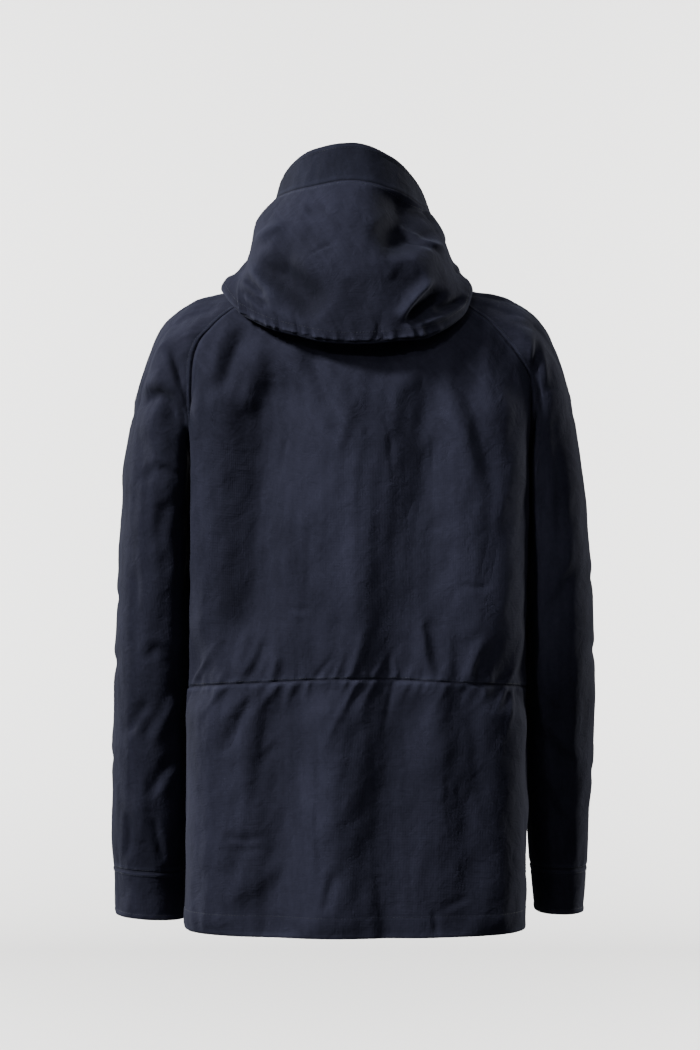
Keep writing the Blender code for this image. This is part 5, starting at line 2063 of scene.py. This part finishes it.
BODY_FOLDS = (
    Folds(Face.BACK, fade=0.16, rows=[
        (168, -120, 170, -280, 168, -470, 34, 12, 0),
        (74, -110, 106, -250, 134, -470, 36, -20.5, 0),
        (0, -130, -6, -300, -12, -500, 36, 8, 0),
        (-88, -120, -90, -280, -92, -500, 27, -12.5, 0),
        (-118, -140, -132, -300, -140, -490, 24, 4, 0),
        (-172, -130, -174, -280, -170, -480, 32, 10, 0),
    ]),
    Folds(Face.BACK, [
        (120, -76, 138, -112, 153, -165, 10.5, -11.5, 0.3),
        (100, -98, 113, -140, 126, -190, 11, 6, 0),
        (72, -200, 82, -232, 86, -268, 4, -2, -0.6),
        (54, -95, 36, -142, 13, -192, 9.5, -6, -0.5),
        (-3, -150, 6, -190, 21, -236, 8.5, 2.4, 0),
        (-41, -195, -44, -230, -47, -265, 4, -0.9, 0.5),
        (-108, -118, -138, -180, -160, -290, 15, -7.5, 0.3),
        (-88, -204, -94, -226, -92, -252, 3.5, -0.7, 0.5),
        (-78, -403, -82, -445, -90, -489, 8, 3.6, -0.5),
        (-94, -395, -98, -440, -105, -489, 8.5, -2, 0.2),
        (-147, -428, -138, -455, -125, -488, 7, 4, 0.4),
        (-134, -428, -122, -452, -112, -486, 9, -3, 0),
        (121, -420, 125, -452, 130, -486, 7.5, 3.6, -0.3),
        (99, -430, 106, -460, 118, -488, 6, -3.4, 0.4),
        (84, -452, 88, -470, 96, -488, 4.5, 2.4, 0),
        (76, -398, 58, -404, 40, -400, 4, -1.4, 0.3),
        (-120, -372, -138, -378, -156, -373, 4, -1.4, -0.3),
    ]),
    Folds(Face.BACK, fade=0.12, rows=[
        (166, -490, 168, -620, 166, -790, 34, 9, 0),
        (76, -490, 84, -620, 88, -790, 26, -7, 0),
        (28, -490, 24, -620, 30, -790, 32, 8.5, 0),
        (-70, -490, -78, -620, -108, -790, 26, -4.6, 0),
        (-170, -490, -170, -620, -166, -790, 30, 9, 0),
    ]),
    Folds(Face.BACK, [
        (104, -494, 124, -522, 147, -572, 8.5, -6, 0.5),
        (86, -496, 101, -545, 108, -650, 14, -4, 0.3),
        (96, -525, 102, -548, 104, -577, 5.5, -1.4, 0.6),
        (80, -552, 97, -566, 110, -580, 5.5, -1.6, 0.4),
        (43, -525, 46, -612, 42, -722, 6.5, 2.4, -0.2),
        (38, -600, 40, -640, 36, -692, 4.5, -1.2, 0.2),
        (-46, -530, -34, -630, -8, -730, 22, -2.6, -0.2),
        (-20, -560, -10, -600, 6, -645, 13, 1.4, -0.4),
        (-28, -700, -34, -740, -36, -790, 10, -2.5, 0.3),
        (-104, -588, -107, -608, -100, -627, 4.5, -0.9, 0.5),
        (146, -660, 121, -664, 95, -659, 4, -1.8, 0.5),
        (140, -670, 120, -674, 99, -669, 3.5, -1.3, -0.5),
        (72, -678, 112, -712, 149, -742, 13, 3.6, -0.4),
        (112, -650, 131, -690, 147, -716, 9.5, -3.4, 0),
        (18, -690, 24, -716, 32, -748, 7, -3.2, 0.3),
        (-128, -600, -134, -670, -128, -740, 13, -2.6, 0),
        (-99, -742, -117, -734, -136, -727, 4.5, -1.8, 0.3),
        (-136, -505, -140, -560, -148, -640, 11, -3, 0.3),
        (176, -700, 178, -732, 174, -766, 3.5, 1.5, -0.4),
        (-92, -738, -94, -754, -95, -771, 4.5, -1.8, 0.3),
    ]),
    Folds(Face.FRONT, [
        (152, -118, 132, -170, 108, -235, 9, -6.1, -0.5),
        (-148, -114, -136, -160, -106, -210, 8, -5.4, 0.5),
        (78, -120, 94, -220, 100, -340, 17.6, -6.1, 0.3),
        (-86, -130, -82, -240, -96, -372, 18.9, -6.1, -0.3),
        (148, -290, 136, -372, 140, -470, 11, 4.9, 0),
        (-140, -310, -146, -400, -138, -520, 16.2, 4.1, 0),
        (70, -430, 86, -520, 80, -640, 11, -6.2, 0.4),
        (-74, -455, -88, -560, -76, -690, 16.2, -6.1, -0.4),
        (150, -560, 128, -590, 108, -602, 6, -3.8, 0.5),
        (-154, -610, -130, -632, -110, -640, 5.5, -3.5, -0.5),
        (118, -640, 124, -690, 120, -745, 8, 4.3, -0.4),
        (-116, -660, -110, -705, -116, -750, 8, 4.1, 0.4),
        (82, -260, 90, -282, 88, -305, 3, -1.8, 0.5),
        (-70, -330, -78, -350, -74, -372, 3, -1.8, -0.5),
    ]),
)

SLEEVE_FOLDS = {
    Side.LEFT: (
        Folds(Face.BACK, [
            (250, -180, 222, -160, 192, -204, 11.5, -10, -0.4),
            (211, -95, 201, -130, 187, -156, 6, -5.5, 0.5),
            (236, -140, 219, -98, 196, -74, 5.2, 4.2, 0),
            (252, -198, 240, -234, 247, -268, 11, -3.6, 0),
            (250, -264, 222, -243, 194, -264, 7, -2.4, -0.5),
            (206, -272, 218, -300, 229, -340, 10, -3.4, 0),
            (204, -318, 208, -396, 205, -474, 8, 2.4, 0),
            (262, -330, 252, -400, 258, -480, 10, -3, 0),
            (240, -470, 222, -452, 200, -482, 8, -2.6, -0.4),
            (238, -568, 219, -535, 202, -500, 8, 3.6, -0.4),
            (266, -560, 248, -528, 230, -512, 7, -3.4, 0.4),
            (240, -632, 222, -600, 203, -574, 8, -3.8, 0.4),
            (268, -640, 262, -668, 266, -704, 5, -2.6, 0.5),
            (234, -648, 226, -680, 222, -708, 5.5, -2.6, -0.5),
            (250, -600, 246, -640, 250, -690, 7, 2, 0),
        ]),
        Folds(Face.FRONT, [
            (250, -168, 224, -148, 192, -190, 9, -5, -0.5),
            (254, -262, 232, -282, 204, -268, 8, -4, 0.5),
            (256, -340, 232, -372, 206, -392, 10, -5.5, 0.5),
            (206, -400, 232, -424, 262, -414, 9, -5, 0.5),
            (262, -452, 236, -470, 208, -500, 9, -4.8, 0.5),
            (214, -560, 240, -590, 262, -640, 9, -4, 0.4),
            (250, -640, 240, -668, 244, -704, 6, -2.6, 0.5),
        ]),
        Folds(Face.LEFT, [
            (20, -200, -20, -176, -60, -206, 9, -2, -0.5),
            (-70, -350, -40, -385, 4, -400, 11, -2.5, 0.5),
            (14, -450, -30, -470, -78, -452, 10, -2.3, -0.5),
            (-84, -540, -52, -575, -20, -588, 9, -2, 0.5),
            (-90, -640, -78, -670, -84, -704, 6, -1.2, 0.4),
        ]),
    ),
    Side.RIGHT: (
        Folds(Face.BACK, [
            (-212, -84, -211, -114, -204, -154, 5.5, -4.2, 0.6),
            (-218, -98, -221, -122, -225, -150, 4, 2, 0),
            (-180, -66, -198, -74, -212, -78, 5, 1.8, 0.4),
            (-236, -160, -240, -250, -246, -345, 12, -4.2, 0.4),
            (-214, -205, -216, -262, -210, -325, 10, -3.4, 0),
            (-266, -350, -242, -388, -214, -430, 11, -4.6, 0.4),
            (-272, -440, -256, -520, -262, -610, 11, 3.2, 0),
            (-218, -540, -240, -574, -266, -590, 9, -4.2, -0.4),
            (-222, -600, -236, -640, -262, -664, 8, -3.4, -0.4),
            (-246, -660, -252, -684, -250, -706, 5, -2.4, 0.5),
        ]),
        Folds(Face.FRONT, [
            (-246, -160, -222, -150, -190, -186, 9, -4.6, 0.5),
            (-258, -300, -236, -324, -206, -322, 9, -4.6, -0.5),
            (-264, -366, -238, -398, -212, -410, 10, -5.5, -0.5),
            (-214, -452, -240, -470, -268, -458, 9, -4.8, -0.5),
            (-262, -560, -242, -580, -222, -620, 8, -3.8, -0.4),
            (-244, -650, -250, -680, -246, -706, 5, -2.4, -0.5),
        ]),
        Folds(Face.RIGHT, [
            (16, -190, -24, -170, -62, -196, 9, -1.9, -0.5),
            (-74, -330, -36, -362, 6, -372, 11, -2.4, 0.5),
            (12, -440, -34, -456, -76, -436, 10, -2.3, -0.5),
            (-88, -560, -54, -588, -22, -606, 9, -1.9, 0.5),
        ]),
    ),
}

HOOD_FOLDS = (
    Folds(Face.BACK, [
        (125, -22, 112, -36, 96, -53, 4.5, -5.5, 0.5),
        (124, -40, 108, -53, 93, -67, 4.5, -4.9, 0.5),
        (117, -8, 100, -34, 70, -62, 7, 6.1, -0.4),
        (106, 0, 72, -38, 30, -76, 19, -20, 0.3),
        (108, 8, 97, 23, 72, 31, 6, 5.5, 0),
        (90, 6, 62, 9, 34, 16, 15, -5, 0),
        (51, -6, 36, 1, 19, 8, 3, -2, 0.5),
        (56, 50, 40, 47, 24, 48, 6, -2.6, 0),
        (-36, 44, -50, 16, -58, -14, 20, -9, 0),
        (-64, 86, -70, 46, -82, 0, 34, -17, 0),
        (-71, 33, -88, 16, -112, 2, 4.2, 5.2, 0.7),
        (-58, 44, -76, 30, -92, 22, 4, 2.3, 0.5),
        (-95, -30, -73, -52, -50, -84, 6, 9.3, -0.7),
        (-110, -40, -88, -60, -60, -80, 8, -10.1, 0),
        (-138, -52, -110, -70, -64, -88, 6, 7.2, 0.4),
        (-130, -46, -112, -58, -92, -68, 5, -5.8, 0),
        (-40, -24, -60, -34, -86, -38, 13, -3, 0),
        (8, -30, -6, -52, -10, -78, 12, -2, 0),
    ]),
    Folds(Face.LEFT, [
        (60, 20, 30, 4, -10, 2, 7, -4, 0.5),
        (70, -10, 40, -20, 10, -12, 6, -3.5, 0.5),
    ]),
    Folds(Face.RIGHT, [
        (62, 26, 28, 10, -12, 8, 7, -4, -0.5),
        (70, -6, 42, -18, 8, -10, 6, -3.5, -0.5),
    ]),
)


def main() -> None:
    """Builds the coat on the frame, then the studio round it."""
    logging.basicConfig(level=logging.INFO, format="%(name)s: %(message)s")
    cloth, thread, metal = CottonFinish().make(), ThreadFinish().make(), EnamelFinish().make()
    body = BodyForm()
    sleeves = {
        side: SleeveForm(side, body, SLEEVE_RINGS[side], cuff_top=top, cuff_bottom=bottom)
        for side, top, bottom in ((Side.LEFT, -0.716, -0.773), (Side.RIGHT, -0.712, -0.766))
    }
    hood = HoodForm(body)
    Studio().build()
    BodyPanels(body, sleeves, cloth, thread, BODY_FOLDS).build()
    for side in Side:
        SleevePanels(sleeves[side], cloth, thread, SLEEVE_FOLDS[side]).build()
    # A darker copy of the cloth for the hood's visor: painted shade.
    painted_shade_cotton = CottonFinish(name="ventile_cotton_unrubbed", deep="151620", pale="292B3A", worn="2F3141")
    HoodPanels(hood, cloth, painted_shade_cotton.make(), thread, HOOD_FOLDS).build()
    FlapPanel(body, hood, cloth, thread, metal).build()


if __name__ == "__main__":
    main()
